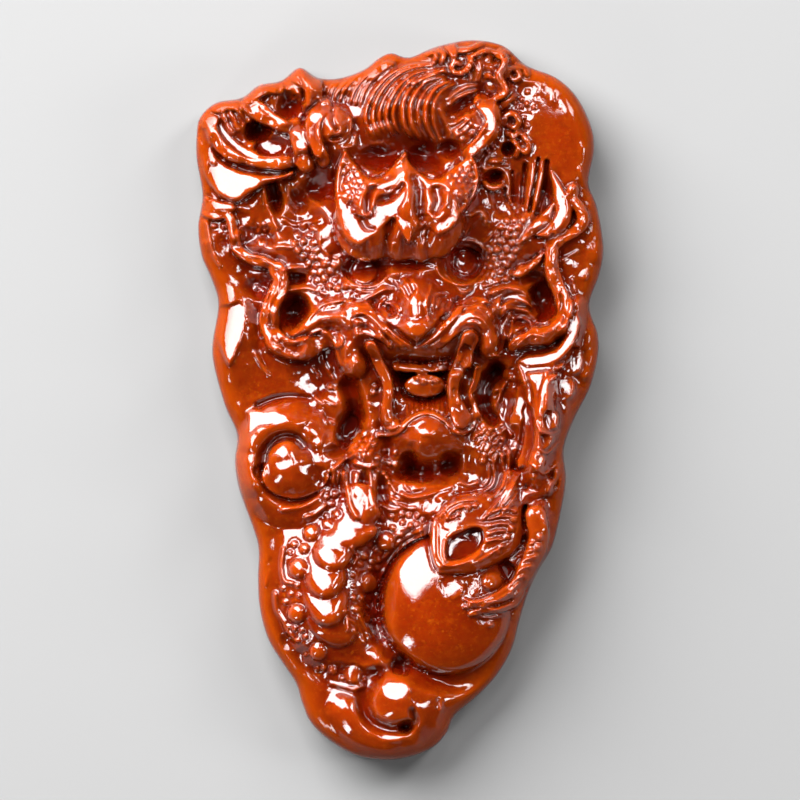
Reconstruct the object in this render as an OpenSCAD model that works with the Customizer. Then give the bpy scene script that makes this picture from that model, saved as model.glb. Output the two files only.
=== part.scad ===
// Carved red jade pendant: one solid stone with a scalloped outline, a flat back,
// and a dragon's head, coiled body, claw and pearl raised on its front.
// The flat back lies on z = 0 with the origin at its middle. +Z points out of the carved face
// and +Y to the pendant's top.

/* [Stone] */
// Height from the lowest scallop to the top curl
stone_h = 60; // [48:1:76]
// Width across the widest scallops
stone_w = 34; // [27:0.5:44]
// Thickness from the flat back to the tip of the dragon's nose
stone_t = 12; // [9:0.5:16]

/* [Edge] */
// Height of the widest line of the edge above the back
edge_z = 2.8; // [2.4:0.1:4]
// How far in from the outline the front edge is rolled over
edge_roll = 2.8; // [1.5:0.1:4]
// How far the flat back stops short of the outline
back_inset = 0.7; // [0.3:0.1:0.9]
// Height of the rounding between the flat back and the edge
back_round = 0.9; // [0.4:0.1:1.2]

/* [Cord hole] */
// Diameter of the cord hole
hole_d = 2; // [1.2:0.1:2.2]
// Slope of the cord hole to the flat back, in degrees
hole_slope = 32; // [28:1:40]
// Place of the hole across the stone, from its middle
hole_x = 0.8; // [0:0.1:1.6]
// Height of the middle of the hole's mouth in the top edge
hole_z = 2.4; // [2:0.1:3]

/* [Mesh] */
// Cells across the front
cells_across = 56; // [40:2:56]
// Cells down the front
cells_down = 88; // [70:2:90]

/* [Hidden] */
jade_colour = [0.72, 0.22, 0.06];

// The design is drawn on a sheet 56.6 wide and 100 tall, stretched to the stone.
// Its x runs from the middle, its y from the lowest point.
sheet_w = 56.6;
sheet_h = 100;
unit_x = stone_w / sheet_w;
unit_y = stone_h / sheet_h;
// Rises and depths are in hundredths of the carving's full height, and so is the plain ground
// of the stone, before the carving rises from it
ground_z = 46;

// Each span of a smooth curve is drawn in this many steps
span_steps = 6;
// A ridge or groove is drawn in this many straight pieces
stroke_steps = 5;
// Share of its neighbours' height that each point of the carving takes on in polishing
wear = 0.45;
// The hole is cut this far past the stone at both ends
hole_past = 3;

// Outline, clockwise from the top left corner: [x, y] on the sheet
outline_top = [
  [-27.7, 89.3], [-25.5, 91.3], [-21.9, 92], [-19.6, 93.7], [-16.4, 94.4], [-13.9, 96.2], [-11.4, 94.8],
  [-8.4, 94.7], [-5, 95.9], [-2.9, 97.5], [-1.1, 98.2], [1.3, 97.6], [5.1, 99.1], [10, 100], [14.4, 99.2],
  [17.6, 96.5], [21.7, 94.8], [24.6, 92.1]
];
outline_right = [
  [24.6, 92.1], [26.6, 88], [27, 84.6], [26.2, 80.2], [27.4, 76.8], [28.3, 71.2], [27.7, 67.4], [26.3, 63.1],
  [27.5, 59.2], [27.5, 56], [26.4, 51.7], [24.3, 47.5], [22.8, 43.2], [23.1, 39], [22.4, 34.6], [21.2, 29.7],
  [19.3, 26.4], [17.9, 23.4], [16.7, 19.6], [15.6, 15.5]
];
outline_bottom = [
  [15.6, 15.5], [13.5, 11.8], [10.8, 8.9], [7.6, 6.1], [6.6, 3.9], [4.7, 1.8], [1.4, 0.4], [-2.1, 0],
  [-6, 0.6], [-9.5, 2.5], [-12.3, 5.1], [-13.6, 8], [-14.4, 10.6], [-16.1, 13.2], [-18.2, 16.6]
];
outline_left = [
  [-18.2, 16.6], [-19.4, 20.8], [-19.7, 25],
  [-19.6, 29.2], [-20.3, 32], [-22.3, 37.6], [-22.9, 41.6], [-22.6, 45.2], [-24.3, 49.3], [-25.8, 54.7],
  [-26, 58], [-25.2, 63.3], [-26.2, 66.9], [-27.5, 70], [-28, 74], [-27.4, 78.4], [-28.2, 83.4],
  [-28.2, 87], [-27.7, 89.3]
];

// Broad swells of the ground: [x, y, half width, half height, turn, rise]
swells = [
  [1.5, 69, 24, 32, 0, 24],
  [4, 26, 19, 24, 0, 18],
  [-10, 24, 11, 15, 10, 13],
  [-23, 59, 4, 8, 5, 8],
  [-16, 42, 8, 9, 0, 9],
  [-2, 8, 9, 8, 0, 8],
  [22, 86, 8, 10, 0, 9],
  [20, 48, 6, 14, 8, 16]
];

// Rounded forms: [x, y, half width, half height, turn, rise]
face_forms = [
  [2, 63.4, 4.4, 4.8, 0, 28],
  [-1, 62.4, 2, 2, 0, 21],
  [5.3, 63.4, 2, 2.2, 0, 21],
  [-5, 75.6, 4.3, 4.6, 20, 23],
  [6.3, 76, 4, 3.8, -20, 22],
  [-4.8, 67.9, 1.7, 1.6, 0, 10],
  [9.1, 69.1, 2.2, 2.1, 0, 12],
  [-9.2, 69.5, 3.4, 5, 30, 8],
  [15.2, 71.2, 3.4, 5, -25, 8],
  [3.3, 52, 2.4, 1.3, 0, -12],
  [4, 45.6, 4.8, 3.4, 0, 14],
  [-4.4, 43.6, 2.8, 2.2, 0, 10],
  [12, 44.4, 3, 3, 0, 10]
];
crown_forms = [
  [1, 90, 7.6, 6.4, 20, 16],
  [-14.2, 94.9, 1.8, 1.6, 0, 14],
  [-10, 88.6, 2, 2, 0, 18],
  [-13.1, 82.8, 1.7, 1.6, 0, 22],
  [8.4, 96.2, 2, 1.9, 0, 16],
  [12.4, 97.3, 2, 1.4, 0, 12],
  [12.6, 93.1, 1.5, 1.5, 0, 12],
  [15.4, 95.2, 1.3, 1.3, 0, 8],
  [15.2, 88.8, 1.6, 1.5, 0, 12],
  [25.2, 78.2, 1.5, 1.5, 0, 12],
  [22.8, 75.4, 1.6, 2.8, -15, 8]
];
body_forms = [
  [6.5, 21.5, 9.6, 9.6, 0, 32],
  [-15, 40.5, 4, 3.7, 0, 12],
  [-0.4, 8.6, 3.8, 3, 10, 14],
  [-12.2, 31.6, 1.5, 1.5, 0, 10],
  [-14, 26.7, 1.7, 1.7, 0, 10],
  [-14.1, 20.4, 1.6, 1.6, 0, 10],
  [-11.2, 15, 1.4, 1.4, 0, 10],
  [-6.5, 12, 1.5, 1.5, 0, 10],
  [-1.9, 30.5, 1.6, 1.6, 0, 12],
  [-4.6, 24.7, 1.6, 1.6, 0, 12],
  [-8.9, 34.2, 1.2, 1.2, 0, 10],
  [-6.1, 21, 1, 1, 0, 9]
];

// Ridges: [start x, y, middle x, y, end x, y, half width, rise]
whiskers = [
  [-27, 75.3, -25, 75.9, -23.4, 74.4, 1.7, 14],
  [-23.4, 74.4, -23.3, 71, -20.5, 69.4, 1.8, 16],
  [-20.5, 69.4, -17.5, 68.8, -16.7, 66.6, 1.9, 19],
  [-16.7, 66.6, -17, 64.6, -17.8, 62.6, 1.9, 21],
  [-17.8, 62.6, -18.5, 59.5, -16.6, 57.7, 1.9, 21],
  [-16.6, 57.7, -14.6, 56.6, -12.4, 57.8, 1.9, 21],
  [25.2, 77.6, 25.5, 74.9, 24.2, 73.1, 1.7, 14],
  [24.2, 73.1, 21.7, 72.5, 20.9, 70, 1.8, 16],
  [20.9, 70, 21.3, 67.5, 22.4, 65.2, 1.9, 20],
  [22.4, 65.2, 23.1, 63.2, 22.2, 61.4, 1.9, 20],
  [22.2, 61.4, 20.3, 59.8, 18, 60.3, 1.9, 20],
  [18, 60.3, 16.8, 61, 15.8, 62, 1.8, 20]
];
horns = [
  [-27.2, 88.4, -26.3, 83.6, -22, 81.6, 1.9, 10],
  [-26.4, 88.6, -24.8, 84.4, -20.5, 83.2, 1.3, 13],
  [-20.5, 83.2, -18, 82.9, -15.6, 84, 1.3, 15],
  [-25.2, 90.2, -24.2, 86.7, -20.6, 84.8, 1.3, 15],
  [-24.8, 90.6, -22.8, 91, -20.8, 89.4, 1.4, 10],
  [-20.2, 91.3, -18.2, 89.4, -15, 87.7, 1.4, 17],
  [-20, 92.4, -18, 93, -16.4, 92.2, 1.5, 10],
  [-13.8, 95.2, -12.8, 93.4, -12.6, 90.4, 1.4, 17],
  [-15, 87.7, -13.6, 85.6, -13.2, 82.8, 1.6, 20],
  [-11.2, 90, -12.4, 87, -10.8, 83.4, 1.4, 20],
  [-12.8, 91, -11, 90.8, -8.6, 90.6, 1.6, 14],
  [-7.5, 89.5, -6.9, 87.6, -10.2, 86.6, 1.2, 20],
  [14.2, 98, 14, 95.6, 14.6, 93, 1.2, 14],
  [10, 98.2, 11, 96, 10.2, 93.6, 1.4, 18],
  [11.4, 90.6, 12.8, 87.8, 8.6, 84, 1.5, 20],
  [17.6, 83.4, 17.6, 81.6, 17.6, 79.6, 1.1, 12],
  [19.4, 83, 18.8, 79.6, 17.8, 76.4, 1.2, 12],
  [20.8, 81.4, 21.8, 78, 22.6, 75.4, 1.2, 10]
];
mane = [
  [-4.4, 88, -3, 94.6, 5.6, 96, 1.8, 22],
  [5.4, 86, 4.2, 91.6, 8.8, 94.2, 1.6, 22],
  [-4.2, 85.8, -4.4, 89.4, -2.6, 93, 1.4, 18],
  [-1, 87, -1, 91, 1.4, 94.6, 1.3, 22],
  [2.2, 87, 1.4, 90.8, 4.4, 94.4, 1.3, 22],
  [-9.6, 91.6, -8, 93.6, -4.4, 95, 1.4, 10]
];
brow = [
  [0.8, 84, 0.7, 79, 0.8, 73, 1.6, 24],
  [-7.7, 84, -8.8, 79.4, -8.2, 74.8, 1.3, 19],
  [-8.2, 74.8, -6.8, 72.3, -4.4, 71.8, 1.3, 19],
  [10.2, 83.2, 11, 79.6, 9.4, 76.6, 1.3, 19],
  [-0.2, 84, -1.6, 81.6, -5.2, 80.2, 1.3, 16],
  [1.8, 83.6, 3.6, 81.4, 5.2, 80.2, 1.3, 16],
  [-8, 67.3, -4.7, 65.4, -1.6, 66.9, 0.9, 8],
  [5, 68, 8.2, 66.2, 11.8, 68.7, 0.9, 8],
  [-14.6, 68.3, -12.6, 68.6, -11, 67.6, 1.2, 10],
  [-15, 65.6, -11.6, 65, -8, 65.4, 1.1, 10],
  [16, 69, 18, 68.6, 19.4, 67.4, 1.2, 10]
];
lips = [
  [2, 57.6, -1.6, 59.6, -4.6, 62.2, 1.8, 24],
  [-4.6, 62.2, -7.2, 63.2, -9.6, 62, 1.8, 20],
  [0.6, 57.2, -2.6, 58.6, -6.2, 58.8, 1.6, 17],
  [-8.4, 61, -8.7, 57.6, -7.6, 54.9, 2, 17],
  [-6.2, 60, -5.4, 57.6, -5.9, 55, 1.6, 13],
  [-12, 59.6, -10.9, 57.4, -10, 54.2, 1.1, 13],
  [-15, 59.6, -12.2, 61.6, -9.4, 63.2, 1.6, 17],
  [2.6, 57.4, 6, 60.6, 9.4, 62.9, 1.8, 24],
  [9.4, 62.9, 12.2, 63.6, 13.4, 61, 1.7, 22],
  [3.6, 57, 7.4, 58.8, 11, 59.8, 1.7, 18],
  [12.8, 61, 13.2, 58.6, 13, 57.2, 2.1, 19],
  [15.8, 61.8, 14.8, 59.6, 14.6, 57.4, 1.1, 18],
  [13.6, 63.6, 15.8, 65.3, 18.4, 63.4, 1.5, 16],
  [16.6, 57.8, 20, 58.6, 23, 60, 1.5, 10]
];
jaws = [
  [-3.6, 56.6, -2.7, 52.4, -1.7, 48, 1.5, 18],
  [-0.9, 54.4, -0.2, 52.6, 0.5, 50.6, 0.9, 4],
  [9.4, 56.8, 8, 54.2, 7.3, 51.6, 1.6, 21],
  [7.3, 51.6, 7.3, 49, 8.6, 47.7, 1.6, 21],
  [-4.4, 45.8, -0.8, 45.9, 1.4, 47.6, 1.2, 17],
  [1.4, 47.6, 4.2, 48.7, 6.8, 47.3, 1.2, 18],
  [6.8, 46.9, 8.6, 46, 10.6, 47.4, 1.2, 15],
  [-2.6, 36.7, 1.6, 36.6, 6.6, 38, 1.1, 6],
  [-3, 34.6, 0.4, 34.6, 3.6, 34.8, 1.3, 6]
];
claws = [
  [14, 36.6, 10, 37, 7, 35.2, 1.7, 24],
  [7, 35.2, 5.2, 32, 5.2, 27.6, 1.5, 30],
  [15.2, 35.6, 15, 32, 13.4, 29.2, 1.7, 26],
  [13.4, 29.2, 10.6, 27, 5.6, 26.9, 1.5, 36],
  [19.2, 33, 18.8, 28, 17, 25, 1.5, 22],
  [17, 25, 15, 22.8, 11.4, 21.7, 1.4, 34],
  [17, 53.4, 18, 48, 16.8, 41, 1.4, 12],
  [20.6, 54, 20.6, 48, 19.6, 42.6, 2.6, 12],
  [19.6, 42.6, 19, 40, 18.4, 38.4, 2.2, 14],
  [16.8, 41, 16.2, 38.4, 14.4, 36.6, 1.5, 18],
  [16.4, 55, 21, 56.2, 23.6, 59.4, 1.5, 10],
  [23.6, 59.4, 24.5, 62.4, 24, 65.4, 1.1, 9]
];
coil = [
  [-6.8, 34.4, -9.8, 28.8, -11, 23.6, 3.2, 13],
  [-11, 23.6, -10.6, 18.6, -5.4, 13.8, 3.4, 12],
  [-5, 41, -5.3, 37.6, -4.4, 34, 1.9, 17],
  [-8.6, 39.6, -8.2, 37.4, -7, 34.2, 1.3, 12],
  [-9, 45.4, -14.6, 49, -20, 45.6, 2.4, 10],
  [-20, 45.6, -21.3, 40.8, -19.2, 36.4, 2, 9]
];

// Hollows: [x, y, half width, half height, turn, depth]
hollows = [
  [-19.6, 87.4, 2, 1.9, 0, 22],
  [-17.4, 85.6, 1.8, 1.4, 0, 20],
  [-15.6, 91, 1.8, 1.8, 0, 14],
  [-10.6, 79.2, 3.4, 2.2, 0, 22],
  [-17.6, 78.4, 1.5, 2.6, 0, 12],
  [3.6, 84.4, 3.6, 1.9, 0, 20],
  [-2.6, 83.3, 2.4, 1.5, 0, 18],
  [6.9, 85.2, 1.6, 1.6, 0, 24],
  [8.4, 90.2, 2.4, 2, 25, 22],
  [15, 84.6, 1.2, 1.2, 0, 18],
  [13, 81.1, 1.7, 1.1, 10, 22],
  [-4.4, 69.2, 5.4, 2, 0, 10],
  [8, 70, 4.6, 2.8, 0, 10],
  [-14.4, 62.4, 2.2, 2.6, -15, 26],
  [-14.6, 66.9, 2.2, 1, 0, 14],
  [-19.2, 66, 2.2, 1.6, 0, 8],
  [19.7, 64, 2.4, 2.9, 0, 22],
  [-6.8, 51.3, 2.6, 2.2, 0, 30],
  [2.8, 52.9, 4.6, 3, 0, 30],
  [12.9, 53, 2.8, 2.2, 20, 30],
  [12.2, 50, 1.9, 2.2, 0, 24],
  [4.2, 41.2, 5.6, 2.7, 0, 32],
  [8.7, 30.6, 3, 3.2, 0, 20],
  [13.3, 26.2, 2, 1.9, 0, 20],
  [14.4, 39, 1.4, 2.6, 0, 10]
];

// Grooves: [start x, y, middle x, y, end x, y, half width, depth]
grooves = [
  [-13.2, 42.4, -15, 44.8, -17.8, 43.4, 1.3, 17],
  [-17.8, 43.4, -19.3, 40.8, -18.2, 38.2, 1.3, 17],
  [-18.2, 38.2, -15.4, 35.9, -10.8, 37.6, 1.3, 17],
  [-4.8, 10, -4.7, 6, -1, 4.7, 1.3, 15],
  [-1, 4.7, 1.5, 4.6, 0.5, 6.4, 1.2, 16],
  [-2.6, 28.6, -3.6, 21.4, -2.4, 16.8, 1.3, 16],
  [-2.4, 16.8, -0.2, 13.4, 5, 12, 1.3, 16],
  [-16, 31, -17.4, 24, -15.2, 17.6, 1, 7],
  [-15.2, 17.6, -12.4, 13.2, -7, 10.2, 1, 7],
  [0.6, 69.8, 3, 69.6, 5, 69.4, 1.4, 10]
];

// A smooth curve through four points in a row, at share t of its middle span
function smooth_point(a, b, c, d, t) =
  (2 * b + (c - a) * t + (2 * a - 5 * b + 4 * c - d) * t * t + (3 * b - a - 3 * c + d) * t * t * t) / 2;

// One side of the outline in millimetres, with the point before it and the point after it
function on_stone(p) = [p.x * unit_x, (p.y - sheet_h / 2) * unit_y];
function on_sheet(p) = [p.x / unit_x, p.y / unit_y + sheet_h / 2];
function side_curve(before, side, after) =
  let (p = [for (q = concat([before], side, [after])) on_stone(q)])
  concat(
    [for (k = [1 : len(p) - 3], s = [0 : span_steps - 1])
      smooth_point(p[k - 1], p[k], p[k + 1], p[k + 2], s / span_steps)],
    [p[len(p) - 2]]
  );

// Length along a curve up to each of its points
function lengths(curve, k = 0, sum = 0) =
  k == len(curve) - 1 ? [sum] : concat([sum], lengths(curve, k + 1, sum + norm(curve[k + 1] - curve[k])));

// The curve again, in a number of equal steps
function even_steps(curve, count) =
  let (
    run = lengths(curve),
    total = run[len(run) - 1],
    across = [for (k = [0 : len(curve) - 1]) [run[k], curve[k].x]],
    up = [for (k = [0 : len(curve) - 1]) [run[k], curve[k].y]]
  )
  [for (k = [0 : count]) [lookup(total * k / count, across), lookup(total * k / count, up)]];

function reversed(list) = [for (k = [len(list) - 1 : -1 : 0]) list[k]];
function next_to_last(list) = list[len(list) - 2];

edge_top = even_steps(side_curve(next_to_last(outline_left), outline_top, outline_right[1]), cells_across);
edge_right = even_steps(side_curve(next_to_last(outline_top), outline_right, outline_bottom[1]), cells_down);
edge_bottom = reversed(
  even_steps(side_curve(next_to_last(outline_right), outline_bottom, outline_left[1]), cells_across));
edge_left = reversed(
  even_steps(side_curve(next_to_last(outline_bottom), outline_left, outline_top[1]), cells_down));

// The front is a net stretched between the four sides: i counts across, j counts down
function net_point(i, j) =
  let (
    u = i / cells_across,
    v = j / cells_down,
    corners = (1 - u) * (1 - v) * edge_top[0] + u * (1 - v) * edge_top[cells_across]
      + (1 - u) * v * edge_bottom[0] + u * v * edge_bottom[cells_across]
  )
  (1 - v) * edge_top[i] + v * edge_bottom[i] + (1 - u) * edge_left[j] + u * edge_right[j] - corners;

// How much a point of the net is rolled over towards the edge: 0 at the outline, 1 inside
function roll_share(p, i, j) =
  let (
    inward = min(norm(p - edge_top[i]), norm(p - edge_bottom[i]), norm(p - edge_left[j]), norm(p - edge_right[j])),
    rest = max(0, 1 - inward / edge_roll)
  )
  sqrt(1 - rest * rest);

// A ridge or groove as [lowest x, highest x, lowest y, highest y, points, half width, amount]
function stroke(row) =
  let (
    a = [row[0], row[1]],
    m = [row[2], row[3]],
    b = [row[4], row[5]],
    pull = 2 * m - (a + b) / 2,
    reach = row[6],
    points = [for (k = [0 : stroke_steps])
      let (t = k / stroke_steps) (1 - t) * (1 - t) * a + 2 * t * (1 - t) * pull + t * t * b]
  )
  [
    min([for (p = points) p.x]) - reach, max([for (p = points) p.x]) + reach,
    min([for (p = points) p.y]) - reach, max([for (p = points) p.y]) + reach,
    points, reach, row[7]
  ];
function to_piece(p, a, b) =
  let (ab = b - a, t = max(0, min(1, (p - a) * ab / (ab * ab))))
  norm(p - a - t * ab);
function stroke_amount(p, s) =
  p.x < s[0] || p.x > s[1] || p.y < s[2] || p.y > s[3] ? 0 :
  let (away = min([for (k = [0 : stroke_steps - 1]) to_piece(p, s[4][k], s[4][k + 1])]) / s[5])
  away < 1 ? s[6] * (1 - away * away) : 0;

// Square of the distance of a point from a form's middle, 1 at the form's edge
function form_span(p, f) =
  let (dx = p.x - f[0], dy = p.y - f[1])
  abs(dx) + abs(dy) > 1.5 * (f[2] + f[3]) ? 2 :
  let (
    along = (dx * cos(f[4]) + dy * sin(f[4])) / f[2],
    over = (dy * cos(f[4]) - dx * sin(f[4])) / f[3]
  )
  along * along + over * over;
function swell_amount(p, f) =
  let (span = form_span(p, f))
  span < 1 ? f[5] * (1 - span * span) : 0;
function ball_amount(p, f) =
  let (span = form_span(p, f))
  span < 1 ? f[5] * sqrt(1 - span) : 0;
function bowl_amount(p, f) =
  let (span = form_span(p, f))
  span < 1 ? f[5] * (1 - span) : 0;

forms = concat(face_forms, crown_forms, body_forms);
ridges = [for (row = concat(whiskers, horns, mane, brow, lips, jaws, claws, coil)) stroke(row)];
channels = [for (row = grooves) stroke(row)];

// Height of the carving at a point of the sheet
function carving(p) =
  ground_z
  + max([for (f = swells) swell_amount(p, f)])
  + max(max([for (f = forms) ball_amount(p, f)]), max([for (s = ridges) stroke_amount(p, s)]))
  - max(max([for (f = hollows) bowl_amount(p, f)]), max([for (s = channels) stroke_amount(p, s)]));

// One value of a list laid out on the net, or the nearest one past its sides
function at_net(list, i, j) =
  list[max(0, min(cells_down, j)) * (cells_across + 1) + max(0, min(cells_across, i))];
// The list again, each value worn down or filled in towards its neighbours, as by polishing
function polished(list) = [for (j = [0 : cells_down], i = [0 : cells_across])
  (1 - wear) * at_net(list, i, j) + wear / 4
    * (at_net(list, i - 1, j) + at_net(list, i + 1, j) + at_net(list, i, j - 1) + at_net(list, i, j + 1))];

net = [for (j = [0 : cells_down], i = [0 : cells_across]) net_point(i, j)];
carved = polished([for (p = net) carving(on_sheet(p))]);
// The tallest point of the carving stands at the full thickness
carved_top = max(carved);
front = [for (j = [0 : cells_down], i = [0 : cells_across])
  let (
    k = j * (cells_across + 1) + i,
    z = carved[k] / carved_top * stone_t
  )
  [net[k].x, net[k].y, edge_z + (z - edge_z) * roll_share(net[k], i, j)]];

// Numbers of the net's outer points, clockwise
rim = concat(
  [for (i = [0 : cells_across - 1]) i],
  [for (j = [0 : cells_down - 1]) j * (cells_across + 1) + cells_across],
  [for (i = [cells_across : -1 : 1]) cells_down * (cells_across + 1) + i],
  [for (j = [cells_down : -1 : 1]) j * (cells_across + 1)]
);
rim_count = len(rim);

// The rim again, moved in from the outline and set at a height
function rim_inside(distance, z) = [for (k = [0 : rim_count - 1])
  let (
    here = net[rim[k]],
    way = net[rim[(k + 1) % rim_count]] - net[rim[(k + rim_count - 1) % rim_count]],
    inward = [way.y, -way.x] / norm(way)
  )
  [here.x + distance * inward.x, here.y + distance * inward.y, z]];
// The edge turns in by this share of the back's inset at the top of its rounding
round_share = 0.25;
back_middle = [0, 0, 0];

stone_points = concat(
  front,
  rim_inside(back_inset * round_share, back_round),
  rim_inside(back_inset, 0),
  [back_middle]
);
front_faces = [for (j = [0 : cells_down - 1], i = [0 : cells_across - 1], half = [0, 1])
  let (
    a = j * (cells_across + 1) + i,
    c = a + cells_across + 2
  )
  half == 0 ? [a, a + 1, c] : [a, c, c - 1]];
function band(upper, lower) = [for (k = [0 : rim_count - 1], half = [0, 1])
  let (next = (k + 1) % rim_count)
  half == 0 ? [upper[k], lower[k], lower[next]] : [upper[k], lower[next], upper[next]]];
round_ring = [for (k = [0 : rim_count - 1]) len(front) + k];
back_ring = [for (k = [0 : rim_count - 1]) len(front) + rim_count + k];
back_centre = len(front) + 2 * rim_count;
stone_faces = concat(
  front_faces,
  band(rim, round_ring),
  band(round_ring, back_ring),
  [for (k = [0 : rim_count - 1]) [back_centre, back_ring[(k + 1) % rim_count], back_ring[k]]]
);

// The cord hole runs from the top edge down to the flat back
hole_top_y = lookup(hole_x, edge_top);
hole_back_y = hole_top_y - hole_z / tan(hole_slope);
hole_length = hole_z / sin(hole_slope);

module cord_hole() {
  translate([hole_x, hole_back_y, 0])
    rotate([hole_slope - 90, 0, 0])
      translate([0, 0, -hole_past])
        cylinder(d = hole_d, h = hole_length + 2 * hole_past, $fn = 48);
}

module carved_stone() {
  color(jade_colour)
    difference() {
      polyhedron(points = stone_points, faces = stone_faces, convexity = 8);
      cord_hole();
    }
}

carved_stone();
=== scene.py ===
"""Carved red jade pendant, lying on its back on a pale floor.

The stone is one closed piece. Its front is a sheet of heights: a rough block is
swelled and hollowed, and then given its plates, ridges, strands and beads from
the tables below. Sheet, outline, flat back and cord hole together make one solid,
which stands for the CAD stone.
"""
import math

import bpy
import numpy as np
import openvdb
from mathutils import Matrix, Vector


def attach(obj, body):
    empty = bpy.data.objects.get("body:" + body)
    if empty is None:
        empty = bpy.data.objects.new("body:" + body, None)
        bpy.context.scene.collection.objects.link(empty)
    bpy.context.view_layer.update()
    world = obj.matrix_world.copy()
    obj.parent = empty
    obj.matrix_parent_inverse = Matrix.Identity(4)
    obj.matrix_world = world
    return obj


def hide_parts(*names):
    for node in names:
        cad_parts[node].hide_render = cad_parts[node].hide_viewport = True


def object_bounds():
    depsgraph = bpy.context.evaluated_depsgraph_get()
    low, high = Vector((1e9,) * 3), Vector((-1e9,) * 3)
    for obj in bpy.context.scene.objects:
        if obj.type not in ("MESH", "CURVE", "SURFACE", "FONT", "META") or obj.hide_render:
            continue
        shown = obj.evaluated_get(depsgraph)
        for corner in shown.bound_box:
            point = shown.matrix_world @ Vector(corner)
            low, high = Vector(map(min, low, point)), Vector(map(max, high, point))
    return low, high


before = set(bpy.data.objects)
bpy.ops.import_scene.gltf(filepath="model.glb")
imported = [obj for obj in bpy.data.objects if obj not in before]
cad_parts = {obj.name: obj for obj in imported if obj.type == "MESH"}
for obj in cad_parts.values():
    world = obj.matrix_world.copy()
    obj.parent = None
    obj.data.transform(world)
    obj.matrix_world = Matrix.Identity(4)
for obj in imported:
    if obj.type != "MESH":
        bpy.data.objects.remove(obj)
cad_low, cad_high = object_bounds()
CAD_BOX = (np.array(cad_low), np.array(cad_high))

# The sheet is the pendant seen from the front, in hundredths of its height.
# x runs from its middle, y up from its lowest point, and heights up from its back.
SHEET_X = (-29.4, 29.4)
SHEET_Y = (-1.2, 101.2)
SHEET_MIDDLE = 50.0
OUTLINE_WIDTH = 56.6
CELL = 0.14
UNIT = (cad_high.y - cad_low.y) / 100
ACROSS = (cad_high.x - cad_low.x) / OUTLINE_WIDTH

# Heights of the stone, and how its edge rolls over to the front and the back
GROUND = 10.3
TOP_HEIGHT = 20.0
EDGE_HEIGHT = 6.0
EDGE_ROLL = 2.4
EDGE_POWER = 2.6
BACK_INSET = 1.15
BACK_ROUNDING = 1.5
THIN_EDGE = 3.4

# Levels that the stone's field is sampled at, and the most that a sample says
LEVELS = (-0.8, TOP_HEIGHT + 1.0)
FIELD_LIMIT = 3.0

# Cord hole: its radius and the middle of its mouth on the back, from metres to sheet units,
# its slope to the back, rising towards the top edge, and so its way along y and up
HOLE_RADIUS = 0.001 / UNIT
HOLE_X = 0.0008 / ACROSS
HOLE_Y = 0.0247321 / UNIT + SHEET_MIDDLE
HOLE_SLOPE = math.radians(32)
HOLE_WAY = (round(math.cos(HOLE_SLOPE), 6), round(math.sin(HOLE_SLOPE), 6))

# Triangles of the finished stone, and the width of the picture in metres
TRIANGLES = 196000
FRAME_WIDTH = 0.06685

# A distance past every outline, and a level below everything
FAR, BELOW = 60.0, -99.0
# Powers that shape a rounded section, from full to pinched
ROUND, SOFT = 0.5, 2.0
# Width of the groove round a raised form and round a bead, and how far out it is cut
MOAT_WIDTH, BEAD_MOAT_WIDTH = 0.35, 0.25
MOAT_REACH, BEAD_MOAT_REACH = 1.0, 0.6
# Share of a ridge's height that is kept
RIDGE_SHARE = 0.7
# Waves along a tube's width and rise, power of its walls, and half widths that its end sinks over
WIDTH_WAVES, RISE_WAVES = 1.7, 2.3
WALL_POWER = 8
TUBE_END = 1.6
# Share of a ribbon's width left at its tips, and how fast it widens from there
RIBBON_TIP, RIBBON_TAPER = 0.35, 8
# Smoothing of the block's facets as a share of their size, and how sharply calm parts end
FACET_BLUR, CALM_POWER = 0.09, 0.7

# Fine scales: pitch of the rows as a share of their spacing, and how far scales stray
SCALE_ROW = 0.86
SCALE_DRIFT = 0.16
# Lower teeth: half width and rise at foot and tip, and how far the end teeth drop
TOOTH = (0.3, 0.28, 0.8, 0.6)
TOOTH_BOW = 0.9

# Depths noted on the mesh for the colours: [name, radius of the blur, sign, depth for a full note]
# pit and crease mark hollows that get painted shade; ridge and crest mark raised parts that get painted
# light
HEIGHT_NOTES = [
    ["pit", 2.2, -1, 2.6], ["crease", 0.7, -1, 0.7], ["ridge", 2.2, 1, 2.2], ["crest", 0.7, 1, 0.5],
]
# Full normals of the sheet: how deep inside the rim they start, over what depth they come in,
# the least upward turn of the surface, and how far off the sheet it may lie
NORMALS_FROM, NORMALS_OVER, NORMALS_UP, NORMALS_OFF = 0.4, 1.2, 0.15, 0.5
# Rolled edge: how far below the edge's height its note starts, and the height it comes in over
ROLLED_BELOW, ROLLED_OVER = 1, 1.5
# Noises in the stone: scale, detail, roughness, shift, and the values from which to which it shows
JADE_NOISES = {
    "cloud": (170, 4, 0.6, 0, 0.35, 0.65),
    "broad": (60, 3, 0.5, 0.05, 0.35, 0.65),
    "grain": (1300, 6, 0.7, 0.02, 0.46, 0.72),
    "shades": (1900, 4, 0.65, 0.13, 0.50, 0.72),
    "specks": (2600, 4, 0.65, 0.09, 0.56, 0.74),
}
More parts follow.
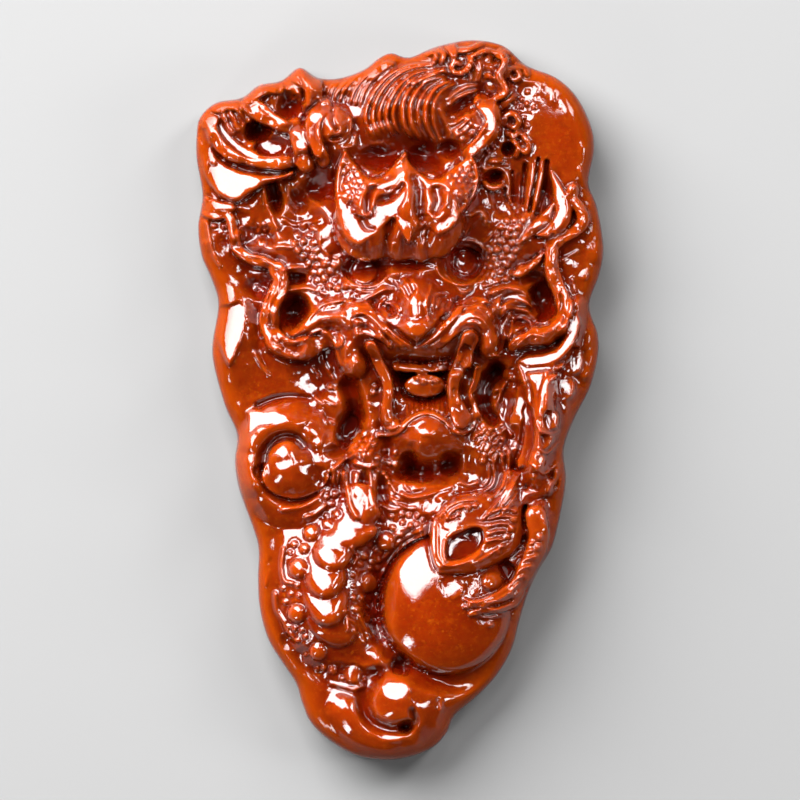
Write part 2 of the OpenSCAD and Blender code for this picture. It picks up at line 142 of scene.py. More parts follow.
# The stone's red, and the colours laid over it: [noise or note, strength, red, green and blue]
JADE_RED = (0.05704, 0.00276, 0.000184)
JADE_LAYERS = [
    ["cloud", 1, (0.092, 0.006624, 0.000276)],
    ["broad", 0.4, (0.092, 0.0115, 0.000368)],
    ["grain", 0.35, (0.1564, 0.02484, 0.000736)],
    ["shades", 0.4, (0.04048, 0.00184, 0.000184)],
    ["specks", 0.4, (0.2024, 0.04416, 0.00184)],
    # Painted light: broad raised forms lighter and redder, and small crests lighter orange, as where light
    # falls and glows through
    ["ridge", 0.5, (0.1086, 0.00644, 0.000368)],
    ["crest", 0.5, (0.1932, 0.02576, 0.000736)],
    # Painted glow: the thin rim more orange, as light shining through it
    ["thin", 0.6, (0.09016, 0.01242, 0.000368)],
    # Painted shade: creases and pits darker, where shade falls
    ["crease", 0.55, (0.052, 0.0014, 0.00018)],
    ["pit", 0.8, (0.068, 0.0016, 0.00018)],
]
# Polish of the stone, and how light spreads inside it
JADE_BODY = {
    "Roughness": 0.055, "IOR": 1.46, "Subsurface_Weight": 0.45,
    "Subsurface_Radius": (1.0, 0.25, 0.05), "Subsurface_Scale": 0.001,
}
# Fine wear of the polish as a noise, and the gleam: notes of the rolled edge from which to which
# the specular level falls, and the level before and after
POLISH_NOISE = (1800, 4, 0.6, 0.21)
JADE_GLEAM = (0.2, 0.85, 0.5, 0.04)
# Matt floor
FLOOR_BODY = {"Base_Color": (0.12, 0.12, 0.12, 1), "Roughness": 0.6, "Specular_IOR_Level": 0.2}

# Lamps: [name, turn from +X, tilt from overhead in degrees, distance, width, height in metres, watts]
LAMPS = [
    ["key", 130, 54, 0.5, 0.44, 0.64, 24.8],
    ["top", 85, 20, 0.6, 0.08, 0.08, 0.65],
    ["right", 42, 44, 0.5, 0.11, 0.28, 2.7],
    ["side", -5, 60, 0.5, 0.11, 0.17, 1.65],
    ["low", 225, 64, 0.5, 0.07, 0.20, 1.25],
]
SKY_STRENGTH = 0.03

sheet_x = np.arange(SHEET_X[0], SHEET_X[1], CELL)
sheet_y = np.arange(SHEET_Y[0], SHEET_Y[1], CELL)


def window(points, reach):
    """The part of the sheet within reach of some points, as slices and coordinates."""
    low, high = points.min(axis=0) - reach, points.max(axis=0) + reach
    i0, i1 = np.searchsorted(sheet_x, (low[0], high[0]))
    j0, j1 = np.searchsorted(sheet_y, (low[1], high[1]))
    return (slice(j0, j1), slice(i0, i1)), sheet_x[None, i0:i1], sheet_y[j0:j1, None]


def smooth_curve(points, step=0.45, closed=False):
    """A smooth curve through points, as rows of x, y and share of the way."""
    p = np.asarray(points, float)
    if closed:
        p = np.vstack([p[-1:], p, p[:2]])
    else:
        p = np.vstack([2 * p[0] - p[1], p, 2 * p[-1] - p[-2]])
    rows = []
    for k in range(1, len(p) - 2):
        a, b, c, d = p[k - 1:k + 3]
        count = max(2, int(math.ceil(np.linalg.norm(c - b) / step)))
        t = np.arange(count)[:, None] / count
        rows.append((2 * b + (c - a) * t + (2 * a - 5 * b + 4 * c - d) * t ** 2
                     + (3 * b - a - 3 * c + d) * t ** 3) / 2)
    rows.append(p[-2:-1])
    rows = np.vstack(rows)
    run = np.concatenate([[0], np.cumsum(np.linalg.norm(np.diff(rows, axis=0), axis=1))])
    return np.column_stack([rows, run / run[-1]])


def trace(path, reach):
    """Distance from a curve and share of the way along it, near the curve."""
    part, gx, gy = window(path[:, :2], reach)
    away = np.full((gy.shape[0], gx.shape[1]), 1e9)
    share = np.zeros(away.shape)
    for a, b in zip(path[:-1], path[1:]):
        i0, i1 = np.searchsorted(gx[0], (min(a[0], b[0]) - reach, max(a[0], b[0]) + reach))
        j0, j1 = np.searchsorted(gy[:, 0], (min(a[1], b[1]) - reach, max(a[1], b[1]) + reach))
        x, y = gx[:, i0:i1] - a[0], gy[j0:j1] - a[1]
        ux, uy = b[0] - a[0], b[1] - a[1]
        t = np.clip((x * ux + y * uy) / (ux * ux + uy * uy + 1e-12), 0, 1)
        square = (x - t * ux) ** 2 + (y - t * uy) ** 2
        spot = (slice(j0, j1), slice(i0, i1))
        near = square < away[spot]
        away[spot] = np.where(near, square, away[spot])
        share[spot] = np.where(near, a[2] + t * (b[2] - a[2]), share[spot])
    return part, np.sqrt(away), share


def inside(points, gx, gy):
    """Which samples lie inside a closed outline."""
    result = np.zeros(np.broadcast(gx, gy).shape, bool)
    for (ax, ay), (bx, by) in zip(points, np.roll(points, -1, axis=0)):
        if ay != by:
            result ^= ((ay > gy) != (by > gy)) & (gx < (bx - ax) * (gy - ay) / (by - ay) + ax)
    return result


def blur(field, radius):
    """The field smoothed over a radius in sheet units."""
    pad = int(3 * radius / CELL) + 1
    wide = np.pad(field, pad, mode="edge")
    fy = np.fft.fftfreq(wide.shape[0])[:, None]
    fx = np.fft.rfftfreq(wide.shape[1])[None, :]
    soften = np.exp(-2 * (math.pi * radius / CELL) ** 2 * (fx * fx + fy * fy))
    out = np.fft.irfft2(np.fft.rfft2(wide) * soften, s=wide.shape)
    return out[pad:-pad, pad:-pad]


def soft_max(a, b, ease):
    """The higher of two surfaces, with the crease between them eased."""
    near = np.clip(ease - np.abs(a - b), 0, None) / ease
    return np.maximum(a, b) + near * near * ease / 4


def merge(a, b):
    """Two swells run into one another, and stay 0 where both are 0."""
    return np.cbrt(a ** 3 + b ** 3)


def eased(share):
    """A share from 0 to 1 that starts and ends gently."""
    return share * share * (3 - 2 * share)


def ellipse_span(gx, gy, x, y, rx, ry, turn):
    """Square of the distance from an ellipse's middle, 1 on the ellipse."""
    c, s = math.cos(math.radians(turn)), math.sin(math.radians(turn))
    along = ((gx - x) * c + (gy - y) * s) / rx
    over = ((gy - y) * c - (gx - x) * s) / ry
    return along * along + over * over


def each_curve(table):
    """Every curve of a table, after the numbers that its row starts with."""
    for row in table:
        numbers = [value for value in row if not isinstance(value, list)]
        for points in row[len(numbers):]:
            yield (*numbers, points)


def stretch(path):
    """Length of a curve."""
    return np.linalg.norm(np.diff(path[:, :2], axis=0), axis=1).sum()


class Patch:
    """An outlined patch of the sheet: which samples it keeps, and how far they are from its rim."""

    def __init__(self, points, reach):
        path = smooth_curve(points, closed=True)
        self.part, self.away, _ = trace(path, reach)
        gx, gy = sheet_x[None, self.part[1]], sheet_y[self.part[0], None]
        self.keep = inside(path[:-1, :2], gx, gy)
        middle = path[:-1, :2].mean(axis=0)
        self.x, self.y = gx - middle[0], gy - middle[1]


class Carving:
    """Surface heights over the sheet: base is the rough block, z the carved surface."""

    def __init__(self, ground):
        self.base = np.full((len(sheet_y), len(sheet_x)), float(ground))
        self.z = self.base

    def swell(self, table, power=2.0):
        """Raise broad swells of the block."""
        lift = np.zeros_like(self.base)
        for x, y, rx, ry, turn, rise in table:
            span = ellipse_span(sheet_x[None, :], sheet_y[:, None], x, y, rx, ry, turn)
            lift = merge(lift, rise * np.clip(1 - span, 0, 1) ** power)
        self.base = self.base + lift

    def limb(self, table, power=1.2):
        """Swell the block along curves."""
        lift = np.zeros_like(self.base)
        for w0, w1, h0, h1, points in each_curve(table):
            part, away, share = trace(smooth_curve(points), max(w0, w1))
            q = np.clip(away / (w0 + (w1 - w0) * share), 0, 1)
            rise = (h0 + (h1 - h0) * share) * (1 - q * q) ** power
            lift[part] = merge(lift[part], rise)
        self.base = self.base + lift

    def globe(self, table, ease=0.5):
        """Set globes into the block."""
        for x, y, rx, ry, turn, foot, rise in table:
            span = ellipse_span(sheet_x[None, :], sheet_y[:, None], x, y, rx, ry, turn)
            ball = foot + rise * np.sqrt(np.clip(1 - span, 0, 1))
            self.base = np.where(span < 1, soft_max(np.minimum(self.base, foot), ball, ease), self.base)

    def facets(self, size, tilt, seed):
        """Tilt small patches of the block every way, like the flats left by a grinding wheel."""
        chance = np.random.RandomState(seed)
        columns = int((SHEET_X[1] - SHEET_X[0]) / size) + 3
        rows = int((SHEET_Y[1] - SHEET_Y[0]) / size) + 3
        shift = chance.uniform(0.1, 0.9, (rows, columns, 2))
        slope = chance.normal(0, tilt, (rows, columns, 2))
        gx = np.broadcast_to(sheet_x[None, :], self.base.shape)
        gy = np.broadcast_to(sheet_y[:, None], self.base.shape)
        ci = ((gx - SHEET_X[0]) / size).astype(int) + 1
        cj = ((gy - SHEET_Y[0]) / size).astype(int) + 1
        nearest = np.full(self.base.shape, 1e9)
        lift = np.zeros_like(self.base)
        for dj in (-1, 0, 1):
            for di in (-1, 0, 1):
                j = np.clip(cj + dj, 0, rows - 1)
                i = np.clip(ci + di, 0, columns - 1)
                x = gx - SHEET_X[0] - (i - 1 + shift[j, i, 0]) * size
                y = gy - SHEET_Y[0] - (j - 1 + shift[j, i, 1]) * size
                square = x * x + y * y
                near = square < nearest
                nearest = np.where(near, square, nearest)
                lift = np.where(near, slope[j, i, 0] * x + slope[j, i, 1] * y, lift)
        lift = blur(lift, size * FACET_BLUR)
        for x, y, rx, ry, turn, share in CALM:
            span = ellipse_span(sheet_x[None, :], sheet_y[:, None], x, y, rx, ry, turn)
            lift = lift * (1 - share * np.clip(1 - span, 0, 1) ** CALM_POWER)
        self.base = self.base + lift

    def block_out(self):
        """The rough block is done: carve from here."""
        self.z = self.base.copy()

    def ball(self, table, power=ROUND, ease=0.25, ride=False):
        """Raise rounded forms from the block, or from the carved surface if they ride on it."""
        for x, y, rx, ry, turn, rise in table:
            part, gx, gy = window(np.array([[x, y]]), max(rx, ry))
            span = ellipse_span(gx, gy, x, y, rx, ry, turn)
            z = self.z[part]
            ground = z if ride else self.base[part]
            form = np.where(span < 1, ground + rise * np.clip(1 - span, 0, 1) ** power, BELOW)
            self.z[part] = soft_max(z, form, ease)

    def bowl(self, table, power=1.0):
        """Sink rounded hollows."""
        for x, y, rx, ry, turn, depth in table:
            part, gx, gy = window(np.array([[x, y]]), max(rx, ry))
            span = ellipse_span(gx, gy, x, y, rx, ry, turn)
            self.z[part] -= depth * np.clip(1 - span, 0, 1) ** power

    def tube(self, table, crown=0.7, ease=0.45, moat=0.3, waver=0.06, taper=0.0):
        """Lay rounded ridges on the block: a low crown over steep sides, sinking at the ends."""
        for w0, w1, h0, h1, points in each_curve(table):
            path = smooth_curve(points)
            length = stretch(path)
            part, away, share = trace(path, max(w0, w1) + MOAT_REACH)
            run = share * length
            w = (w0 + (w1 - w0) * share) * (1 + waver * np.sin(run * WIDTH_WAVES + points[0][0]))
            q = np.clip(away / w, 0, 1)
            edge = away - w
            z = self.z[part] - moat * np.exp(-(edge / MOAT_WIDTH) ** 2) * ((edge > 0) & (away < FAR))
            rise = (h0 + (h1 - h0) * share) * (1 + waver * np.sin(run * RISE_WAVES + points[0][1]))
            near_end = np.clip(np.minimum(share, 1 - share) * length / (TUBE_END * w), 0, 1)
            rise = rise * (1 - taper * (1 - near_end) ** 2)
            dome = crown * w
            wall = np.maximum(rise - dome, 0) * np.sqrt(1 - q ** WALL_POWER)
            form = self.base[part] + wall + np.minimum(dome, rise) * np.sqrt(1 - q * q)
            self.z[part] = soft_max(z, np.where(away < w, form, BELOW), ease)

    def line(self, table, sign=1.0):
        """Add ridges to the surface along curves, or cut grooves with a sign of -1."""
        for w0, w1, h0, h1, points in each_curve(table):
            part, away, share = trace(smooth_curve(points), max(w0, w1))
            q = np.minimum(1, away / (w0 + (w1 - w0) * share))
            rise = (h0 + (h1 - h0) * share) * (RIDGE_SHARE if sign > 0 else 1)
            self.z[part] += sign * rise * (1 - q * q) ** SOFT

    def strands(self, table, steps=24, vary=0.3, end=0.08, thinnest=0.12):
        """Comb strands between two guide curves, some taller than others."""
        for count, fill, rise, sink, first, last in table:
            a, b = smooth_curve(first), smooth_curve(last)
            t = np.linspace(0, 1, steps)
            a = np.column_stack([np.interp(t, a[:, 2], a[:, k]) for k in (0, 1)])
            b = np.column_stack([np.interp(t, b[:, 2], b[:, k]) for k in (0, 1)])
            gap = np.linalg.norm(a - b, axis=1) / max(1, count - 1)
            part, gx, gy = window(np.vstack([a, b]), gap.max() + 0.3)
            layer = np.zeros((gy.shape[0], gx.shape[1]))
            for k in range(count):
                s = k / max(1, count - 1)
                path = np.column_stack([(1 - s) * a + s * b, t])
                width = gap * fill
                tall = rise * (1 + vary * math.sin(k * 2.4))
                spot, away, share = trace(path, width.max() + 0.05)
                q = np.minimum(1, away / np.maximum(thinnest, np.interp(share, t, width)))
                fade = np.clip(share / end, 0, 1) * np.clip((1 - share) / end, 0, 1)
                dj, di = spot[0].start - part[0].start, spot[1].start - part[1].start
                here = layer[dj:dj + q.shape[0], di:di + q.shape[1]]
                np.maximum(here, (tall * (1 - q * q) + sink * (q < 1)) * fade, out=here)
            self.z[part] += np.where(layer > 0, layer - sink, 0)

    def plate(self, table, ease=0.15, moat=0.3):
        """Raise flat or domed plates over the block."""
        for lift, slope_x, slope_y, bulge, edge, points in each_curve(table):
            patch = Patch(points, FAR)
            depth = np.where(patch.keep, patch.away, 0)
            crown = np.clip(depth / edge, 0, 1)
            crown = np.sqrt(1 - (1 - crown) ** 2)
            swell = bulge * (1 - (1 - depth / depth.max()) ** 2)
            level = lift + slope_x * patch.x + slope_y * patch.y + swell
            z = self.z[patch.part] - moat * np.exp(-(patch.away / MOAT_WIDTH) ** 2) * ~patch.keep
            form = np.where(patch.keep, self.base[patch.part] + level * crown, BELOW)
            self.z[patch.part] = soft_max(z, form, ease)

    def tilt(self, table, edge=0.45, hold=0.85, reach=12):
        """Turn patches of the surface to face one way."""
        for lift, slope_x, slope_y, points in each_curve(table):
            patch = Patch(points, reach)
            crown = eased(np.clip(patch.away / edge, 0, 1) * patch.keep)
            z = self.z[patch.part]
            level = z[patch.keep].mean() + lift + slope_x * patch.x + slope_y * patch.y
            self.z[patch.part] = z + (level - z) * crown * hold

    def bevel(self, table, edge=0.3, hold=0.94, plane=0.75, soften=3):
        """Turn ribbons of the surface to face one way, each nearly a plane along its run."""
        count = 2 * soften + 1
        for width, lift, slope_x, slope_y, points in each_curve(table):
            path = smooth_curve(points, step=0.25)
            part, away, share = trace(path, width + CELL)
            columns = np.searchsorted(sheet_x, path[:, 0])
            rows = np.searchsorted(sheet_y, path[:, 1])
            level = np.pad(self.z[rows, columns], soften, mode="edge")
            level = np.convolve(level, np.full(count, 1 / count), mode="valid")
            sloped = slope_x * path[:, 0] + slope_y * path[:, 1]
            level = (1 - plane) * level + plane * (level.mean() + sloped - sloped.mean())
            along_x = sheet_x[None, part[1]] - np.interp(share, path[:, 2], path[:, 0])
            along_y = sheet_y[part[0], None] - np.interp(share, path[:, 2], path[:, 1])
            level = np.interp(share, path[:, 2], level) + lift
            level = level + slope_x * along_x
            level = level + slope_y * along_y
            narrow = np.clip(RIBBON_TIP + RIBBON_TAPER * np.minimum(share, 1 - share), 0, 1)
            crown = eased(np.clip((width * narrow - away) / edge, 0, 1))
            self.z[part] += (level - self.z[part]) * crown * hold

    def rings(self, table, rise=0.35):
        """Raise thin round rings."""
        for x, y, radius, width in table:
            part, gx, gy = window(np.array([[x, y]]), radius + width)
            q = np.minimum(1, np.abs(np.hypot(gx - x, gy - y) - radius) / width)
            self.z[part] += rise * (1 - q * q) ** 2

    def beads(self, table, moat=0.22, ride=0.75, seat=0.8):
        """Set beads on the surface, each in a small groove, level with the middle of its seat."""
        for x, y, r in table:
            part, gx, gy = window(np.array([[x, y]]), r + BEAD_MOAT_REACH)
            away = np.hypot(gx - x, gy - y)
            q = np.minimum(1, away / r)
            z = self.z[part]
            level = z[away < r * seat].mean()
            dome = (z + level) / 2 + ride * r * np.sqrt(1 - q * q)
            groove = z - moat * np.exp(-((away - r) / BEAD_MOAT_WIDTH) ** 2)
            self.z[part] = np.where(away < r, np.maximum(z, dome), groove)


# Outline of the stone, from the top left corner
OUTLINE = [
    (-27.7, 89.3), (-25.5, 91.3), (-21.9, 92), (-19.6, 93.7), (-16.4, 94.4), (-13.9, 96.2), (-11.4, 94.8),
    (-8.4, 94.7), (-5, 95.9), (-2.9, 97.5), (-1.1, 98.2), (1.3, 97.6), (5.1, 99.1), (10, 100),
    (14.4, 99.2), (17.6, 96.5), (21.7, 94.8), (24.6, 92.1), (26.6, 88), (27, 84.6), (26.2, 80.2),
    (27.4, 76.8), (28.3, 71.2), (27.7, 67.4), (26.3, 63.1), (27.5, 59.2), (27.5, 56), (26.4, 51.7),
    (24.3, 47.5), (22.8, 43.2), (23.1, 39), (22.4, 34.6), (21.2, 29.7), (19.3, 26.4), (17.9, 23.4),
    (16.7, 19.6), (15.6, 15.5), (13.5, 11.8), (10.8, 8.9), (7.6, 6.1), (6.6, 3.9), (4.7, 1.8), (1.4, 0.4),
    (-2.1, 0), (-6, 0.6), (-9.5, 2.5), (-12.3, 5.1), (-13.6, 8), (-14.4, 10.6), (-16.1, 13.2),
    (-18.2, 16.6), (-19.4, 20.8), (-19.7, 25), (-19.6, 29.2), (-20.3, 32), (-22.3, 37.6), (-22.9, 41.6),
    (-22.6, 45.2), (-24.3, 49.3), (-25.8, 54.7), (-26, 58), (-25.2, 63.3), (-26.2, 66.9), (-27.5, 70),
    (-28, 74), (-27.4, 78.4), (-28.2, 83.4), (-28.2, 87),
]

# The rough block: swells and hollows as [x, y, half width, half height, turn, rise or depth]
SWELLS = [
    [1.5, 69, 24, 32, 0, 4.6], [4, 26, 19, 24, 0, 3.2], [-10, 24, 11, 15, 10, 2.6],
    [-23, 59, 4, 8, 5, 1.6], [-16, 42, 8, 9, 0, 1.6], [-2, 8, 9, 8, 0, 1.8], [22, 86, 8, 10, 0, 0.3],
    [20, 48, 6, 14, 8, 3],
]
HEAD_MASSES = [
    [2.4, 62.6, 4.4, 5.4, 0, 3.4], [3, 59.6, 11.5, 5, 0, 1.6], [-4.8, 76, 5, 6.4, 8, 3],
    [6.4, 76.6, 4.8, 6, -10, 2.8], [0.8, 77, 3, 7, 0, 3], [1, 90.6, 8.6, 6.2, 12, 3.2],
    [-9.6, 87, 4.4, 5, 10, 2.6], [10.6, 88, 4, 4.6, -15, 2.2], [9, 96.4, 6.4, 3.6, -8, 1.2],
    [-13.6, 93.6, 3, 3, 0, 1.4], [-9, 68.8, 5, 7, 25, 1.4], [14.6, 70.6, 4.6, 7, -20, 1.4],
    [12.4, 58, 2, 3.2, -8, 2], [4, 45, 6.6, 4.8, 0, 5.4], [4.3, 42.4, 2.3, 3, 0, 1.6],
    [11.6, 44, 4, 5.4, 0, 2], [-4.4, 43.6, 3.4, 4, 0, 1.8], [22.3, 87, 7, 9, 0, 0.25],
]
BODY_MASSES = [
    [-15.2, 40.4, 7.2, 8.6, 0, 1.6], [19.6, 47, 4.6, 10, 8, 1.2], [1.2, 7.4, 7, 6, 0, 3.2],
    [-1.4, 8.6, 3.6, 3.2, 0, 0.7],
]
VALLEYS = [
    [-8, 69, 9, 5.6, 12, 2.2], [11.6, 70, 8.4, 5.6, -12, 2.6], [-13.6, 76, 5, 6, 20, 2.2],
    [15, 79, 4, 7, -10, 1.6], [0.8, 84.6, 9, 4, 0, 2.6], [-11, 54, 5, 5, 0, 2],
    [2.6, 52.6, 6, 4.4, 0, 2.4], [13.4, 51, 3.6, 5, 0, 2], [-3.2, 24, 3, 11, -6, 1.6],
    [17.4, 62.6, 4, 4, 0, 1.6], [-20, 68, 4, 4, 0, 1.4], [-6.4, 46.4, 3, 4, 0, 1.6],
]
HEAD_HOLLOWS = [
    [-19.6, 87.4, 2.3, 1.9, 20, 4.6], [-17.9, 85.3, 2.4, 1.7, 0, 2.6], [-15.3, 90.9, 1.9, 2.1, 0, 2.8],
    [-10.8, 79.6, 3.4, 2.7, 20, 3.6], [-17.3, 78.2, 1.3, 3, 12, 3.2], [-14, 77.6, 1.6, 2, 10, 1.6],
    [3.6, 83.6, 3, 2.2, 0, 2.4], [-2.9, 83.6, 3, 2, 0, 2.4], [6.8, 84.8, 1.9, 1.6, 0, 2.6],
    [8.8, 90.7, 3, 1.5, 25, 2.4], [15, 84.8, 1.1, 1.1, 0, 3.2], [13, 81, 1.7, 1.1, 8, 3.4],
    [-5, 68.1, 4, 2.4, 0, 3.4], [9.1, 69, 4, 3, 0, 4], [1.4, 68.7, 4.4, 0.9, 0, 1.6],
    [-14.6, 62.2, 2.4, 3.2, -18, 5], [-14.4, 66.8, 2, 1, 0, 2.6], [-19, 65.6, 2.8, 2, 0, 1.8],
    [19.8, 64, 2.4, 3.6, 0, 4.6], [3, 52.6, 4.4, 3.2, 0, 3.4], [4.2, 39.9, 5.2, 2, 0, 3],
    [1.4, 41.2, 1.8, 2, 0, 2.6], [7, 41.2, 1.9, 2, 0, 2.6], [19.9, 73.6, 1.8, 0.9, 35, 1.6],
    [20.4, 78.4, 1, 3.4, -6, 2.2], [16.4, 79, 1.2, 2.6, 0, 1.8], [18.3, 66.9, 1.8, 0.9, 25, 1.6],
    [-20.6, 73, 2, 1.8, 0, 1.2], [-18.2, 72.6, 1.2, 1.8, 30, 1.4],
]
BODY_HOLLOWS = [
    [-5, 38.6, 0.9, 1.8, 0, 1.4], [-2.4, 37.4, 1, 2.2, 10, 1.6], [2, 39.6, 3.4, 1.4, 0, 2],
    [17.8, 34, 1.2, 3, 10, 2.2], [-8.6, 43.2, 2.2, 1.2, 20, 1.6], [-7.2, 46.6, 1.8, 2, 0, 2.4],
]

# The pearl under the claw: [x, y, half width, half height, turn, foot, rise]
PEARLS = [[6.2, 21.6, 9.3, 9.9, 0, 11, 4.9]]

# Parts of the block left smooth: [x, y, half width, half height, turn, share]
CALM = [
    [-10, 23, 8, 13, 0, 0.9], [3, 62, 8, 6, 0, 0.8], [0, 75, 9, 8, 0, 0.9], [-15.2, 41, 7, 8, 0, 0.7],
    [22.6, 87, 6.4, 9, 0, 0.95], [-20.4, 52, 7, 5.4, 0, 0.9], [-17.6, 33, 4, 9, 8, 0.9],
    [-9, 4, 9, 5, -20, 0.8], [13, 10, 8, 10, -30, 1], [-23.6, 66, 4, 6, 0, 0.8],
    [24.6, 66, 3, 10, 0, 0.6], [-8, 6, 14, 8, -20, 1], [1, 8, 8, 6, 0, 1], [-18, 20, 4, 12, 10, 0.9],
]

# From here on, tables of curves start with
# [half width at start, at end, rise at start, at end, points, more curves]
# Body, scrolls and arm as thick members of the block, and the rolls of the muzzle
BODY_MEMBERS = [
    [3.6, 6.4, 1.6, 1.8, [(-5.4, 41), (-5.4, 37), (-6.8, 33), (-9.6, 29), (-11, 24), (-10.4, 19)]],
    [6.4, 4, 1.8, 0.8, [(-10.4, 19), (-7.6, 15.4), (-4, 13), (0, 11.6)]],
    [2.4, 2.2, 1.2, 0.8, [(-8, 7), (-6, 4.2), (-2.6, 2.4), (1.4, 2.2)]],
    [2.4, 2.6, 2, 2.4, [(-9, 40), (-10.6, 44.6), (-14.4, 47.4), (-18.6, 46.6), (-21, 43), (-20.4, 38.6)]],
    [2.6, 2.2, 1.6, 1, [(-20.4, 38.6), (-17.4, 35), (-13, 34.8), (-10, 37)]],
    [1.6, 1.8, 2, 2.6, [(24.6, 63), (23.6, 58), (20.8, 55), (20, 50)]],
    [1.8, 1.6, 2.6, 1.6, [(20, 50), (19.4, 45), (18.6, 41)]],
]
MUZZLE = [
    [2.4, 2.6, 2.4, 2.6, [(2.2, 58.6), (-1.4, 59.8), (-4.8, 61.4), (-7.6, 60.8)]],
    [2.6, 2.1, 3, 3.4, [(-6.4, 61.4), (-7, 58.8), (-6.8, 56.4), (-6.3, 54.8)]],
    [2.4, 2.8, 2.4, 2.8, [(2.4, 58.6), (5.4, 59.6), (8.4, 61), (11.2, 61.4)]],
    [2.6, 1.9, 3, 2.6, [(10.6, 61.4), (12, 60), (12.2, 57.6)]],
    [2, 1.8, 2, 1.8, [(-5.6, 58.8), (-3, 57.6), (-0.4, 57.2), (2.4, 56.9)]],
    [1.8, 2, 1.8, 2, [(2.4, 56.9), (5.2, 57.2), (7.6, 58.2), (9.2, 59.8)]],
    [2, 1.8, 1.4, 1.6, [(-15, 59.4), (-12, 60.6), (-9, 61.4)]],
    [1.8, 2, 2, 1.6, [(14, 63), (16, 63.6), (18, 62.4)]],
    [2, 1.6, 1.6, 1.4, [(16, 59), (19, 58.8), (22, 60.4)]],
]

# Valleys between body, jaws, scrolls and rim
GROOVES = [
    [2, 1.8, 3, 3.6, [(-7, 51.8), (-6.5, 50.4), (-6.2, 48.6), (-6.4, 46.8), (-7.6, 44.8)]],
    [1.8, 1.3, 4, 3.2, [(13.4, 54), (12.3, 52.8), (11.6, 51), (11.8, 49), (12.8, 47.4)]],
    [0.8, 1.5, 0.8, 1.8, [(-13.2, 42.3), (-13.5, 43.8), (-15, 44.9), (-17.2, 44.4), (-18.8, 42.4),
     (-19, 40)]],
    [1.5, 0.9, 1.8, 1, [(-19, 40), (-17.9, 37.7), (-15.6, 36.3), (-13, 36.4), (-10.8, 38), (-9.8, 39.8)]],
    [1.7, 1.3, 1.4, 1.7, [(-3.4, 11.8), (-4.7, 9.6), (-4.8, 7.2), (-3.6, 5.2), (-1.2, 4.3), (0.8, 4.6)]],
    [1.3, 0.7, 1.7, 0.9, [(0.8, 4.6), (2, 5.6), (1.7, 7)]],
    [1.6, 2, 1.8, 2.2, [(1.6, 31), (-1.4, 28), (-3.2, 24), (-3.4, 20), (-2.2, 16.4), (0.4, 13.2)]],
    [2, 2.4, 2.2, 0.4, [(0.4, 13.2), (4, 11.3), (8, 10.8), (12, 12.4), (14.6, 15)]],
    [1.6, 1.6, 0.4, 0.6, [(-17.4, 31), (-17.8, 27), (-17.9, 23), (-17, 19.6), (-15.4, 16.6)]],
    [1.6, 1.4, 0.6, 0.3, [(-15.4, 16.6), (-13, 13.4), (-9.6, 10.9), (-6, 9.6)]],
    [0.7, 0.6, 1, 0.6, [(-19.6, 49.3), (-17.4, 50.2), (-15, 50.5), (-12.4, 50.2)]],
    [1.4, 1.2, 0.8, 1, [(-8.4, 12.6), (-5, 12), (-1, 12.8)]],
    [1, 1, 1.2, 1.2, [(16.4, 52), (17.6, 48), (17, 43), (15.6, 39)]],
    [1, 1, 0.7, 0.7, [(22.2, 49.6), (22.4, 46), (21.4, 42), (21.4, 38.6)]],
]

# Horn loops at the top left, and their bulb, folds and grooves
HORNS = [
    [1, 0.9, 1.4, 1.2, [(-25.2, 90.7), (-23.6, 91.2), (-22, 90.5), (-20.8, 89.4)]],
    [1.3, 1, 0.8, 3.4, [(-26.2, 88.4), (-25.6, 86.4), (-24.2, 84.8), (-22.2, 83.7), (-19.6, 83),
     (-17, 82.8), (-14.8, 83)]],
    [1.5, 0.9, 2.6, 3, [(-20.6, 91), (-18.9, 89.5), (-17, 88.4), (-15, 87.6)]],
    [1, 0.9, 1.4, 1.4, [(-20.8, 92), (-18.8, 93.2), (-16.8, 93.2)]],
    [1.6, 1.3, 2, 2.8, [(-13.8, 95.2), (-12.4, 94.2), (-11.9, 92.4), (-12.2, 90.4)]],
    [1.3, 1.3, 3, 3.2, [(-14.6, 88), (-13.9, 86.2), (-13.6, 84.4), (-13.2, 82.8)]],
    [1.4, 1, 3.4, 2.6, [(-10.8, 90.7), (-11.9, 88.8), (-12, 87), (-11.4, 85), (-10.6, 83.2)]],
]
HORN_BULBS = [[-9.4, 88.2, 2.9, 2.8, 20, 2.2]]
HORN_LINES = [
    [0.35, 0.3, 0.8, 0.6, [(-10.6, 91.3), (-9.2, 91.2), (-8.4, 90.4)]],
    [0.4, 0.3, 0.8, 0.6, [(-15.6, 91.2), (-14.4, 91.9), (-13.4, 91.4)]],
    [0.3, 0.3, 0.6, 0.6, [(-15.2, 92.1), (-14.2, 92.6), (-13.6, 92.2)]],
    [0.35, 0.35, 0.7, 0.7, [(-14.4, 82.8), (-13.6, 81.8), (-12.2, 81.9), (-11.7, 83.3)]],
    [0.35, 0.3, 1, 0.8, [(-9.4, 89.6), (-9.3, 88.4), (-8.7, 87.6)]],
    [0.35, 0.3, 0.6, 0.6, [(-16.6, 94.1), (-15.9, 93.9)]],
    [0.4, 0.3, 0.7, 0.6, [(-16.3, 93.4), (-15.4, 93.1)]],
    [0.4, 0.4, 0.8, 0.6, [(-13, 79), (-12.6, 77.9), (-11.3, 77.3)]],
    [0.4, 0.3, 0.6, 0.6, [(-11, 76.8), (-10.1, 75.8), (-9.6, 74.6)]],
    [0.5, 0.4, 0.8, 0.6, [(-6.1, 86.6), (-6.3, 85.4), (-7.6, 84.9)]],
    [0.4, 0.3, 0.6, 0.5, [(-15.2, 80.4), (-14, 79.9)]],
    [0.4, 0.4, 0.7, 0.6, [(-9.6, 82), (-9.5, 80.6)]],
]
